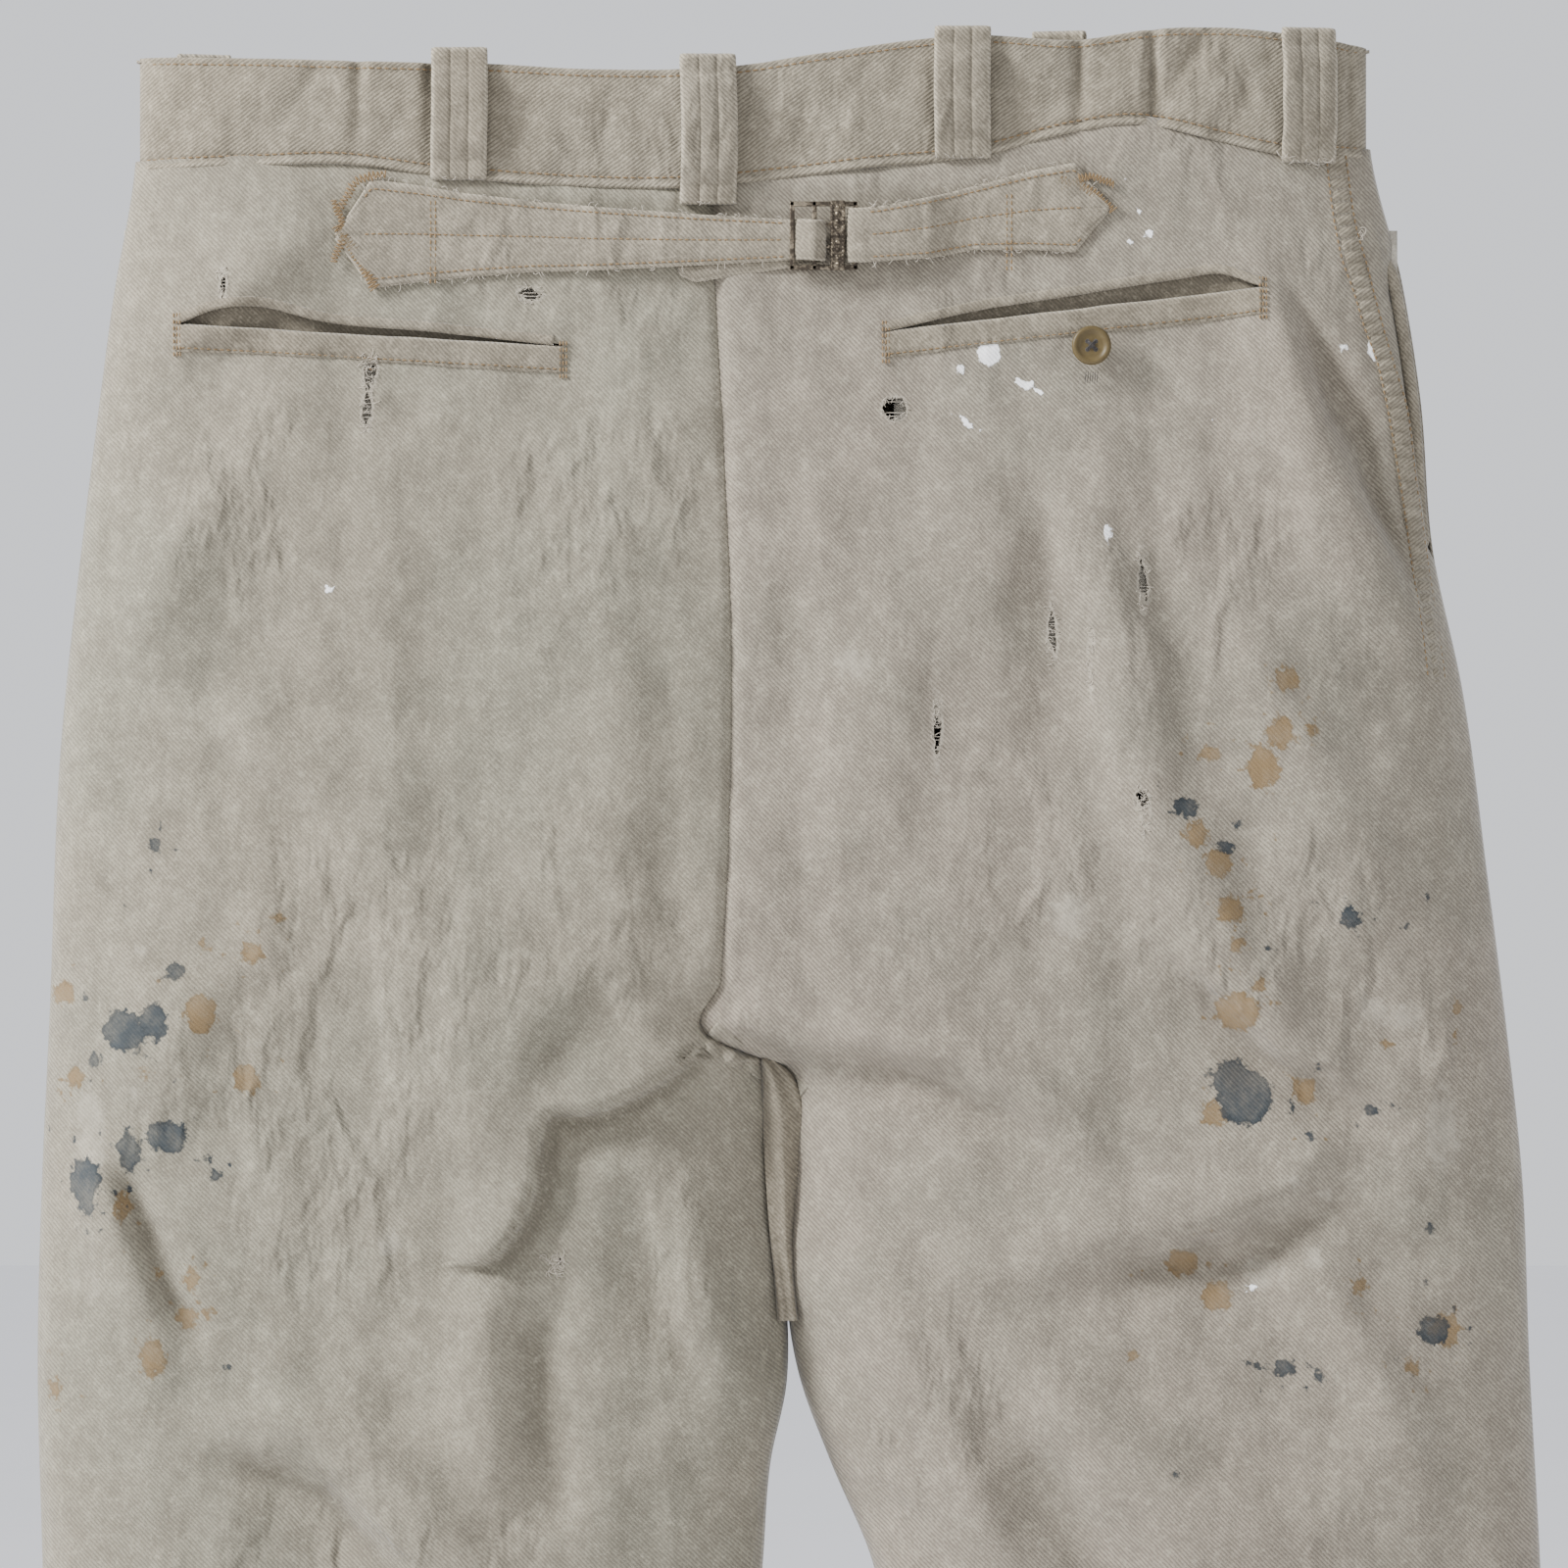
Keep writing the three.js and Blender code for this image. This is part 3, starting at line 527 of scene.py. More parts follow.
TWILL, EDGE, MOTTLE, CRUMPLE = twill_group(), edge_group(), mottle_group(), crumple_group()
BLUE, OCHRE = (0.026, 0.034, 0.040, 1), (0.165, 0.108, 0.048, 1)
PALE, WHITE, GRIME = (0.40, 0.37, 0.30, 1), (0.80, 0.80, 0.79, 1), (0.16, 0.13, 0.095, 1)


def shader(name, roughness=0.9, metallic=0.0, sheen=0.0):
    """A new material with its node helper, its main shader and its place input."""
    material = bpy.data.materials.new(name)
    material.use_nodes = True
    tree = material.node_tree
    bsdf = tree.nodes["Principled BSDF"]
    bsdf.inputs["Roughness"].default_value = roughness
    bsdf.inputs["Metallic"].default_value = metallic
    bsdf.inputs["Specular IOR Level"].default_value = 0.25
    bsdf.inputs["Sheen Weight"].default_value = sheen
    w = Wiring(tree)
    return material, w, bsdf, w.node("ShaderNodeTexCoord").outputs["Object"]


def cloth(name, warm, cool, lean, pitch=0.0013, stained=False, contrast=0.42, bump=0.5,
          crumple=1.0):
    """Worn twill. warm and cool are the two shades that it has faded between."""
    material, w, bsdf, place = shader(name, 0.92, 0.0, 0.12)
    weave = w.group(TWILL, Vector=place, Lean=lean, Pitch=pitch)
    patch = w.group(MOTTLE, Vector=place)
    colour = w.mix(patch["Slow"], warm, cool)
    shade = tuple(0.70 * c for c in warm[:3]) + (1,)
    colour = w.mix(w.math("MULTIPLY", patch["Quick"], 0.62), colour, shade)
    colour = w.mix(w.math("MULTIPLY", patch["Broad"], 0.45), colour,
                   tuple(0.72 * c for c in cool[:3]) + (1,))
    light = tuple(min(1, 1.42 * c) for c in cool[:3]) + (1,)
    # Lighter where rise is high: pale wear on worn folded edges, and a painted highlight on fold crests, the
    # panels' inner edge and raised strips; the quick patches are real fading.
    worn = w.math("MULTIPLY_ADD", patch["Quick"], 0.45, w.attribute("rise"))
    colour = w.mix(w.ramp(worn, 0.75, 2.0), colour, light)
    dark = tuple(0.50 * c for c in warm[:3]) + (1,)
    # Painted shade: the darkening attribute read here paints shade into fold valleys, grooves, ditches and
    # recesses.
    colour = w.mix(w.math("MULTIPLY", w.ramp(w.attribute("painted_shade"), 0.1, 1.7), 0.75), colour, dark)
    colour = w.mix(w.math("MULTIPLY", weave["Line"], contrast), colour,
                   tuple(0.28 * c for c in warm[:3]) + (1,))
    grain = w.noise(place, 190.0, 4.0, 0.75)
    colour = w.mix(w.math("MULTIPLY", w.ramp(grain, 0.50, 0.34), 0.42), colour, dark)
    colour = w.mix(w.math("MULTIPLY", w.ramp(grain, 0.52, 0.68), 0.30), colour, light)
    fleck = w.noise(place, 850.0, 2.0, 0.75)
    colour = w.mix(w.math("MULTIPLY", w.ramp(fleck, 0.52, 0.72), 0.4), colour, light)
    colour = w.mix(w.math("MULTIPLY", w.ramp(fleck, 0.48, 0.30), 0.45), colour, dark)
    rough = w.math("MULTIPLY_ADD", patch["Quick"], 0.06, 0.88)
    height = weave["Height"]
    if stained:
        colour = w.mix(w.math("MULTIPLY", patch["Speck"], 0.30), colour, GRIME)
        for key, tone, rag, soft, most in (("pale", PALE, 4.5, 3.4, 0.34), ("ochre", OCHRE, 3.6, 1.7, 0.92),
                                           ("blue", BLUE, 3.0, 1.2, 0.96), ("white", WHITE, 1.5, 0.5, 1.0)):
            mask = w.group(EDGE, Vector=place, Distance=w.attribute(key), Rag=rag, Soft=soft)["Mask"]
            thin = w.math("MULTIPLY_ADD", patch["Quick"], -0.30, most) if key != "white" else mask
            mask = w.math("MULTIPLY", mask, thin if key != "white" else most, clamp=True)
            colour = w.mix(mask, colour, tone)
            if key in ("ochre", "blue"):
                inner = w.group(EDGE, Vector=place, Distance=w.math("SUBTRACT", w.attribute(key), 1.3),
                                Rag=rag,
                                Soft=1.2)["Mask"]
                ring = w.math("MULTIPLY", w.math("SUBTRACT", mask, inner, clamp=True), 0.45)
                colour = w.mix(ring, colour, tuple(0.45 * c for c in tone[:3]) + (1,))
            if key == "white":
                rough = w.math("MULTIPLY_ADD", mask, -0.35, rough)
                height = w.math("MULTIPLY_ADD", mask, 2.4, height)
        frayed = w.group(EDGE, Vector=place, Distance=w.math("ADD", w.attribute("hole"), 1.2), Rag=1.8,
                         Soft=1.6)["Mask"]
        colour = w.mix(w.math("MULTIPLY", frayed, 0.6), colour, (0.40, 0.362, 0.29, 1))
        gone = w.group(EDGE, Vector=place, Distance=w.attribute("hole"), Rag=1.2, Soft=0.3)["Mask"]
        w.put(bsdf.inputs["Alpha"], w.math("SUBTRACT", 1.0, gone))
    w.put(bsdf.inputs["Base Color"], colour)
    w.put(bsdf.inputs["Roughness"], rough)
    made = w.node("ShaderNodeBump")
    made.inputs["Strength"].default_value = bump
    made.inputs["Distance"].default_value = 0.0003
    w.put(made.inputs["Height"], height)
    creases = w.node("ShaderNodeBump")
    creases.inputs["Strength"].default_value = 0.85
    creases.inputs["Distance"].default_value = 0.0034
    w.put(creases.inputs["Height"], w.group(CRUMPLE, Vector=place, Amount=crumple)["Height"])
    w.put(made.inputs["Normal"], creases.outputs["Normal"])
    w.put(bsdf.inputs["Normal"], made.outputs["Normal"])
    return material


FALL, RISE = (0.707, 0, 0.707), (-0.6, 0, 0.8)
twill_left = cloth("faded twill, cooler", (0.268, 0.236, 0.178, 1), (0.250, 0.233, 0.176, 1), FALL,
                   stained=True,
                   contrast=0.60)
twill_right = cloth("faded twill, warmer", (0.290, 0.249, 0.194, 1), (0.263, 0.240, 0.184, 1), FALL,
                    stained=True,
                    contrast=0.74)
twill_band = cloth("band twill", (0.238, 0.204, 0.148, 1), (0.264, 0.234, 0.176, 1), RISE, contrast=0.66)
twill_loop = cloth("loop twill", (0.220, 0.188, 0.137, 1), (0.255, 0.225, 0.169, 1), FALL, contrast=0.62)
twill_strap = cloth("strap twill", (0.246, 0.213, 0.158, 1), (0.273, 0.241, 0.183, 1), FALL, contrast=0.62)
pocketing = cloth("pocketing", (0.42, 0.385, 0.315, 1), (0.45, 0.415, 0.345, 1), RISE, 0.0007,
                  contrast=0.15, bump=0.25)


def yarn(name, colour):
    material, w, bsdf, place = shader(name, 0.85, 0.0, 0.2)
    tone = w.noise(place, 1500.0, 2.0)
    w.put(bsdf.inputs["Base Color"], w.mix(tone, tuple(0.7 * c for c in colour[:3]) + (1,), colour))
    return material


seam_thread = yarn("seam thread", (0.205, 0.130, 0.056, 1))
pale_thread = yarn("bare yarn", (0.47, 0.42, 0.34, 1))
dark_thread = yarn("button thread", (0.035, 0.030, 0.028, 1))


def button_material():
    material, w, bsdf, place = shader("olive button", 0.42)
    swirl = w.noise(place, 260.0, 4.0, 0.7)
    w.put(bsdf.inputs["Base Color"], w.mix(swirl, (0.045, 0.030, 0.010, 1), (0.115, 0.085, 0.035, 1)))
    w.put(bsdf.inputs["Roughness"], w.math("MULTIPLY_ADD", w.noise(place, 900.0), 0.3, 0.3))
    return material


def metal_material():
    material, w, bsdf, place = shader("worn dark bronze", 0.45, 0.9)
    wear = w.ramp(w.noise(place, 420.0, 4.0, 0.7), 0.45, 0.7)
    w.put(bsdf.inputs["Base Color"], w.mix(wear, (0.055, 0.045, 0.035, 1), (0.30, 0.25, 0.18, 1)))
    w.put(bsdf.inputs["Roughness"], w.math("MULTIPLY_ADD", wear, -0.2, 0.55))
    return material


olive, bronze = button_material(), metal_material()

# ---------------------------------------------------------------- stains and tears
# each is (x, z, half width, half height)
SPOTS = {
    "blue": (
        (-227, -302, 3.4, 3.4), (-219, -350, 4, 4), (-238, -373, 9, 8), (-227, -369, 6, 7),
             (-250, -384, 3, 3),
        (-254, -360, 2, 2), (-254, -430, 7, 9), (-237, -419, 5, 9), (-222, -413, 9, 7), (-253, -439, 4, 4),
        (-204, -428, 3, 3), (-207, -421, 2.5, 2.5), (-238, -325, 1.4, 1.4), (164, -288, 5.5, 4.5),
             (184, -295, 2.4, 2.4),
        (179, -303, 4.5, 3), (196, -342, 2, 2), (227, -330, 4.5, 4.5), (247, -333, 2.2, 2.2),
             (213, -324, 1.8, 1.8),
        (256, -322, 1.4, 3.2), (187, -398, 11, 11), (182, -392, 8, 9), (204, -402, 2.6, 2.6),
             (211, -413, 2.6, 2.6),
        (235, -402, 3.2, 3.2), (215, -385, 1.4, 3), (257, -448, 2.6, 2.6), (259, -487, 7, 6),
             (202, -501, 5, 4),
        (216, -504, 3, 3), (192, -500, 2, 2), (187, -499, 2, 2), (-200, -500, 2, 2), (160, -540, 2.4, 2.4)),
    "ochre": (
        (-263, -359, 5.5, 5), (-208, -341, 3, 3), (-190, -343, 5, 4.5), (-209, -366, 7, 8),
              (-192, -391, 6, 6.5),
        (-258, -391, 4.5, 4.5), (-230, -389, 3, 3), (-227, -466, 2.4, 2.4), (-213, -467, 3.5, 5.5),
        (-215, -482, 5.5, 5), (-206, -480, 3, 3), (-228, -497, 5.5, 8.5), (-266, -510, 3.4, 5),
              (203, -240, 5.5, 5.5),
        (174, -267, 4.5, 4), (200, -260, 6, 7), (194, -273, 7, 9), (212, -259, 3, 3), (168, -298, 5, 6),
        (176, -309, 6, 6), (181, -327, 5.5, 7), (183, -340, 3.6, 4), (184, -365, 9, 8), (192, -355, 3.5, 4),
        (210, -396, 5, 7), (175, -404, 5.5, 5.5), (163, -461, 6.5, 6.5), (176, -474, 6.5, 6),
              (144, -496, 2.6, 2.6),
        (241, -378, 3, 2.4), (268, -364, 2.6, 3.4), (267, -375, 2.4, 2.6), (263, -487, 7, 7),
              (250, -500, 3.4, 4.5),
        (-240, -440, 4, 6), (230, -470, 4, 4), (-180, -330, 3, 3)),
    "pale": (
        (-254, -317, 4, 4), (-232, -341, 5, 5), (-137, -454, 6, 6), (-235, -396, 3.4, 3.4),
             (-254, -470, 8, 8),
        (250, -367, 9, 7), (235, -366, 8, 8), (205, -430, 4, 4), (218, -435, 4, 4), (213, -459, 5, 5),
        (194, -465, 9, 8), (-252, -412, 8, 20), (262, -410, 8, 18), (38, -233, 9, 7), (120, -330, 10, 10)),
    "white": (
        (-161, -205, 2.2, 1.6), (-193, -109, 2, 3), (90, -114, 4.6, 6), (79, -121, 2, 2.4),
              (105, -127, 2.6, 2.2),
        (101, -125, 1.6, 1.6), (110, -130, 1.4, 1.2), (81, -141, 2.6, 2), (86, -144, 1.6, 2),
              (77, -138, 1.3, 1),
        (174, -140, 1.5, 1.5), (135, -184, 1.9, 4.6), (238, -112, 3.4, 5.6), (226, -112, 1.6, 2),
              (122, -50, 3.6, 4.4), (128, -53, 3, 2),
        (141, -48.5, 5, 1.1), (114, -54, 1.6, 2.2),
        (223, -109, 1.2, 1), (189, -471, 4, 1.6), (151, -69, 2.4, 2),
        (144, -72, 1.4, 1.4), (148, -60, 1.4, 1.4)),
    "hole": (
        (-202, -88, 1.3, 5.5), (-85, -92, 4.5, 2.6), (54, -136, 4.8, 5), (70, -258, 1.7, 11),
             (114, -222, 1.7, 11),
        (129, -230, 0.8, 10), (148, -203, 1.8, 11), (147, -284, 2, 4), (149, -290, 1.1, 7),
             (-146, -122, 2.6, 5),
        (-147, -136, 2.0, 8), (-74, -461, 1.6, 2.6)),
}


def spatter(spots, share=1.0):
    """Small droplets thrown out round each larger spot."""
    drops = []
    for sx, sz, rx, rz in spots:
        if min(rx, rz) < 3.2:
            continue
        for _ in range(int(share * rng.integers(7, 15))):
            away, turn = rng.uniform(1.3, 3.2), rng.uniform(0, 2 * math.pi)
            size = rng.uniform(0.35, 1.25)
            drops.append((sx + rx * away * math.cos(turn), sz + rz * away * math.sin(turn), size, size))
    return tuple(drops)


SPOTS = {key: spots + (spatter(spots) if key in ("blue", "ochre") else ()) for key, spots in SPOTS.items()}


def distances(x, z):
    """For each kind of spot, how far inside the nearest one a place is, in millimetres; negative outside."""
    found = {}
    for key, spots in SPOTS.items():
        field = np.full(np.shape(x), UNSPOTTED)
        for sx, sz, rx, rz in spots:
            away = np.hypot((x - sx) / rx, (z - sz) / rz)
            field = np.maximum(field, (1 - away) * min(rx, rz))
        found[key] = field
    return found


# ---------------------------------------------------------------- panels
ROW_STEP, LOW_ROW_STEP, VIEW_DROP = 2.0, 7.0, 640.0
COLUMNS = 118
CLOTH_WALL = 0.9


def welt_top(side, x):
    """The upper line of a back pocket's welt."""
    return -103.4 + (x + 219.5) * (-8.2 / 146.5) if side == LEFT else -106.0 + (x - 51) * (16.7 / 143)


def lip_rise(side, x):
    """How far the slit's upper edge stands above its welt."""
    if side == LEFT:
        return line([(-219.5, 0.6), (-206, 6.5), (-190, 9.0), (-165, 5.0), (-120, 3.2), (-73, 0.6)], x)
    return line([(51, 0.6), (86, 4.6), (124, 6.0), (161, 7.6), (180, 7.4), (194, 0.8)], x)


SLITS = {LEFT: (-219.5, -73.0), RIGHT: (51.0, 194.0)}


def band_foot(x):
    """The waistband's lower edge."""
    return line([(-237, -42.8), (-190, -41.6), (-157, -41), (-122, -45.4), (-77, -49.1), (-29, -50.2),
                 (12, -46.5),
                 (42, -42.8), (90, -37.2), (118, -29.8), (148, -26), (179, -32.4), (202, -37.2),
                 (237, -38)], x)


def band_top(x):
    """The waistband's upper edge."""
    return line([(-237, 0), (-152, -2.6), (-100, -3.7), (-62, -5.6), (-7, -4.5), (23, 0), (86, 7.4),
                 (125, 5.6),
                 (150, 9.3), (179, 10.4), (205, 8.2), (237, 3.7)], x)


def panel(side, layer):
    """One panel of cloth, back or front, from the band to the hem."""
    rows = np.concatenate([np.arange(60, VIEW_DROP, ROW_STEP), np.arange(VIEW_DROP, LENGTH, LOW_ROW_STEP),
                           [LENGTH]])
    extra = 6  # rows between the band's foot and the first level row
    t = (1 - np.cos(math.pi * np.linspace(0, 1, COLUMNS + 1))) / 2
    t = 0.55 * t + 0.45 * np.linspace(0, 1, COLUMNS + 1)
    level = -rows[:, None] * np.ones((1, COLUMNS + 1))
    x_top = outer_x(side, level[:1]) + (inner_x(side, layer, level[:1]) - outer_x(side, level[:1])) * t
    foot = band_foot(x_top) + 3.0
    upper = foot + (level[0] - foot) * (np.arange(extra) / extra)[:, None]
    z = np.vstack([upper, level])
    x = outer_x(side, z) + (inner_x(side, layer, z) - outer_x(side, z)) * t
    keep = np.ones((z.shape[0] - 1, COLUMNS), bool)
    if layer == FRONT and side == LEFT:
        beside_fly = -z < FLY_DROP - 1
        keep &= ~(beside_fly[:-1, :-1] & (x[:-1, :-1] >= FLY_HINGE))
        x = np.where(beside_fly, np.minimum(x, FLY_HINGE), x)
    if layer == BACK:
        x0, x1 = SLITS[side]
        first = extra + int(np.argmin(np.abs(rows - 99)))
        last = first + 3
        low_line, high_line = welt_top(side, x) - 2.5, welt_top(side, x) + lip_rise(side, x)
        inside = ease(x0 - 22, x0, x) * ease(-x1 - 22, -x1, -x)
        row = np.arange(z.shape[0])[:, None]
        above = ease(first - 12, first, row) * (row <= first)
        below = (1 - ease(last, last + 12, row)) * (row >= last)
        between = (row > first) & (row < last)
        share = (row - first) / (last - first)
        shift_up = (high_line - z[first]) * inside
        shift_down = (low_line - z[last]) * inside
        z = (z + above * shift_up + below * shift_down + between
             * (shift_up * (1 - share) + shift_down * share))
        middle = (x[first, :-1] + x[first, 1:]) / 2
        open_columns = (middle > x0 + 1) & (middle < x1 - 1)
        keep[first:last, open_columns] = False
    folds = relief(layer, x, z)
    depth = base_depth(side, layer, x, z)
    fade = np.clip(depth / 12, 0, 1)
    y = depth + folds * fade
    if layer == FRONT and side == LEFT:
        y = y - 0.9 * np.exp(-((x - FLY_HINGE) / 4.0) ** 2) * ease(-214, -208, z)
    edge = ease(0, 0.012, t) * ease(0, 0.012, 1 - t)
    tucked = ease(-3.5, 0.5, z - band_foot(x))
    y = np.maximum(y, 0.15) - (1 - edge) * 0.5 * (depth > 3) - 1.6 * tucked * np.clip(depth / 6, 0, 1)
    if layer == BACK:
        gape = ease(66, 92, -z) * (1 - ease(176, 196, -z))
        if side == RIGHT:
            x = x - 5.5 * gape * np.clip(1 - t / 0.08, 0, 1)
    smooth = folds.copy()
    for _ in range(5):
        smooth = (np.roll(smooth, 1, 0) + np.roll(smooth, -1, 0) + np.roll(smooth, 1, 1)
                  + np.roll(smooth, -1, 1)
                  + smooth) / 5
    sharp = (folds - smooth) * 3
    inner_edge_highlight = np.exp(-((1 - t) * np.abs(outer_x(side, z) - inner_x(side, layer, z)) / 2.2) ** 2)
    points = np.stack([x, layer * y, z], -1).reshape(-1, 3)
    marks = distances(x, z) if layer == BACK else {key: np.full(x.shape, UNSPOTTED) for key in SPOTS}
    if layer == FRONT:
        marks["ochre"] = distances(-x + 20, z - 20)["ochre"] - 0.6
        marks["blue"] = distances(-x - 15, z + 30)["blue"] - 0.8
    # Painted highlight on fold crests and along the inner edge, and painted shade in the fold valleys.
    marks["rise"] = 0.22 * np.clip(sharp, 0, 3) + 0.5 * inner_edge_highlight
    marks["painted_shade"] = 0.35 * np.clip(-sharp, 0, 3)
    if layer == BACK:
        # Painted shadow on the low side of the swag's rolled edge.
        away, share, hand = along(smooth_points(SWAG, 4), x, z)
        pocket = np.exp(-(away / 7.0) ** 2) * (hand < 0) * ease(0, 0.2, share) * ease(0, 0.12, 1 - share)
        marks["painted_shade"] = marks["painted_shade"] + 1.1 * pocket
        if side == LEFT:
            # Painted shade on the left leg right of its inseam, below the fork.
            seam_x = line([(-560, -8), (-526, -26), (-470, -36), (-426, -46), (-405, -56)], z)
            marks["painted_shade"] = (marks["painted_shade"] + 0.55 * ease(0, 5, x - seam_x) * ease(404, 412, -z)
                             * (1 - ease(560, 640, -z)))
        else:
            # Painted shade along the right leg's inner edge, below the fork.
            marks["painted_shade"] = marks["painted_shade"] + 0.5 * np.exp(-((x - 15.0) / 9.0) ** 2) * ease(388, 398, -z)
    faces = flip_out(grid_faces(z.shape[0], COLUMNS + 1, keep), layer * side * -1)
    points, faces, marks = compact(points, faces, marks)
    name = f"{'back' if layer == BACK else 'front'}_panel_{'left' if side == LEFT else 'right'}"
    material = twill_left if side == LEFT else twill_right
    piece = link(name + "_cloth", points, faces, material, node=(name,), attributes=marks)
    thicken(piece, CLOTH_WALL)


for half in (LEFT, RIGHT):
    panel(half, BACK)
    panel(half, FRONT)


# ---------------------------------------------------------------- laying things on the cloth
def on_cloth(x, z, lift=0.0, layer=BACK):
    """Points that lie on the garment's face, raised by lift."""
    x, z = np.broadcast_arrays(np.asarray(x, float), np.asarray(z, float))
    return np.stack([x, surface(layer, x, z) + layer * lift, z], -1)


def band_face(x, z, layer, lift=0.0):
    """Points on the waistband's face."""
    x, z = np.broadcast_arrays(np.asarray(x, float), np.asarray(z, float))
    side = np.where(x < centre_seam(layer, z), LEFT, RIGHT)
    end = np.where(side == LEFT, BAND_ENDS[LEFT], BAND_ENDS[RIGHT])
    t = np.clip((x - end) / (-end), 0, 1)
    depth = WAIST_DEPTH * np.where(t < 0.5, round_end(t), 1) + 0.5 + band_waves(x, z)
    return np.stack([x, layer * (depth + lift), z], -1)


def band_waves(x, z):
    """Soft drapes along the band, the pinches beside each hanger clip and the dents between the loops."""
    sag = 1.7 * waves(x, 0.35 * z, 70, 12) + 1.1 * waves(x, 0.8 * z, 30, 24) + 0.4 * waves(x, z, 13, 6)
    for clip_x in CLIPS:
        reach = np.clip(1 + (z + 6) / 34, 0.1, 1)
        sag = sag - 3.0 * reach * np.exp(-((x - clip_x - 14) / 2.8) ** 2)
        sag = sag - 2.4 * reach * np.exp(-((x - clip_x + 14) / 2.5) ** 2)
    for crease_x, lean, deep, level in ((-171, 0.5, 1.0, -12), (-72, -0.4, 1.1, -30), (36, 0.5, 0.9, -16),
                                        (167, 0.5, 1.1, -2), (191, -0.4, 0.9, -18), (-40, 0.4, 0.8, -14)):
        short = np.exp(-((z - level) / 13.0) ** 2)
        sag = sag - deep * short * np.exp(-((x - crease_x - lean * (z - level)) / 3.6) ** 2)
    return sag - 1.8 * np.exp(-((x - 229) / 2.0) ** 2)


BAND_ENDS = {LEFT: left_low[0], RIGHT: band_high[0]}


def heading(path):
    """The unit direction ahead at each point of a path."""
    ahead = np.gradient(path, axis=0)
    ahead /= np.linalg.norm(ahead, axis=1)[:, None] + 1e-9
    return ahead


def resample(path, step):
    """The same path in even steps."""
    path = np.asarray(path, float)
    s = np.concatenate([[0], np.cumsum(np.linalg.norm(np.diff(path, axis=0), axis=1))])
    at = np.linspace(0, s[-1], max(2, int(round(s[-1] / step)) + 1))
    return np.column_stack([np.interp(at, s, path[:, k]) for k in range(path.shape[1])])


def tubes(name, paths, radius, material, body="garment", sides=5, taper=0.35):
    """Many thin round cords as one piece; radius may be one number or one for each path."""
    verts, faces = [], []
    radii = np.broadcast_to(radius, (len(paths),))
    for path, thick in zip(paths, radii):
        path = np.asarray(path, float)
        ahead = heading(path)
        across = np.cross(ahead, (0.0, 1.0, 0.05))
        across /= np.linalg.norm(across, axis=1)[:, None] + 1e-9
        up = np.cross(across, ahead)
        ends = np.minimum(1, taper + (1 - taper) * np.minimum(np.arange(len(path)),
                                                              np.arange(len(path))[::-1]))
        first = len(verts)
        rings = []
        for k in range(sides):
            turn = 2 * math.pi * k / sides
            rings.append(path + (across * math.cos(turn) + up * math.sin(turn)) * (thick * ends)[:, None])
        block = np.stack(rings, 1).reshape(-1, 3)
        verts.extend(block)
        count = len(path)
        for r in range(count - 1):
            for k in range(sides):
                n = (k + 1) % sides
                faces.append((first + r * sides + k, first + r * sides + n,
                              first + (r + 1) * sides + n, first + (r + 1) * sides + k))
        faces.append(tuple(first + k for k in range(sides))[::-1])
        faces.append(tuple(first + (count - 1) * sides + k for k in range(sides)))
    return link(name, np.array(verts), faces, material, body=body)


STITCH_STEP = 0.25


def dashes(path, length=2.3, gap=0.9):
    """Stitches along a path: a short bowed run of points for each."""
    fine = resample(path, STITCH_STEP)
    per, skip = int(length / STITCH_STEP), int((length + gap) / STITCH_STEP)
    runs = []
    for k in range(0, len(fine) - per - 1, skip):
        runs.append(fine[[k, k + per // 4, k + per // 2, k + 3 * per // 4, k + per]])
    return runs


def stitches(name, paths, material=None, body="garment", radius=0.34, length=2.3, gap=0.9):
    """A row of stitches along each path."""
    runs = [run for path in paths for run in dashes(path, length, gap)]
    return tubes(name, runs, radius, material or seam_thread, body=body, sides=4)


def zigzag(points, width, pitch, place):
    """A darning line that swings from side to side of a drawn line."""
    p = resample(smooth_points(points), pitch / 2)
    ahead = np.gradient(p, axis=0)
    ahead /= np.linalg.norm(ahead, axis=1)[:, None] + 1e-9
    swing = width / 2 * np.where(np.arange(len(p)) % 2, 1, -1) * rng.uniform(0.75, 1.1, len(p))
    q = p + np.column_stack([-ahead[:, 1], ahead[:, 0]]) * swing[:, None]
    q = resample(q, 0.8)
    return place(q[:, 0], q[:, 1], 0.25)


def fray(root, way, length, curl, place_y):
    """One loose yarn that leaves root along way and curls."""
    steps = 9
    heading = math.atan2(way[1], way[0])
    x, z = root
    path = [(x, place_y, z)]
    for k in range(steps):
        heading += curl * rng.uniform(0.5, 1.4) / steps
        x += math.cos(heading) * length / steps
        z += math.sin(heading) * length / steps
        path.append((x, place_y - 0.9 * math.sin(math.pi * (k + 1) / steps) * rng.uniform(0.4, 1.3), z))
    return np.array(path)


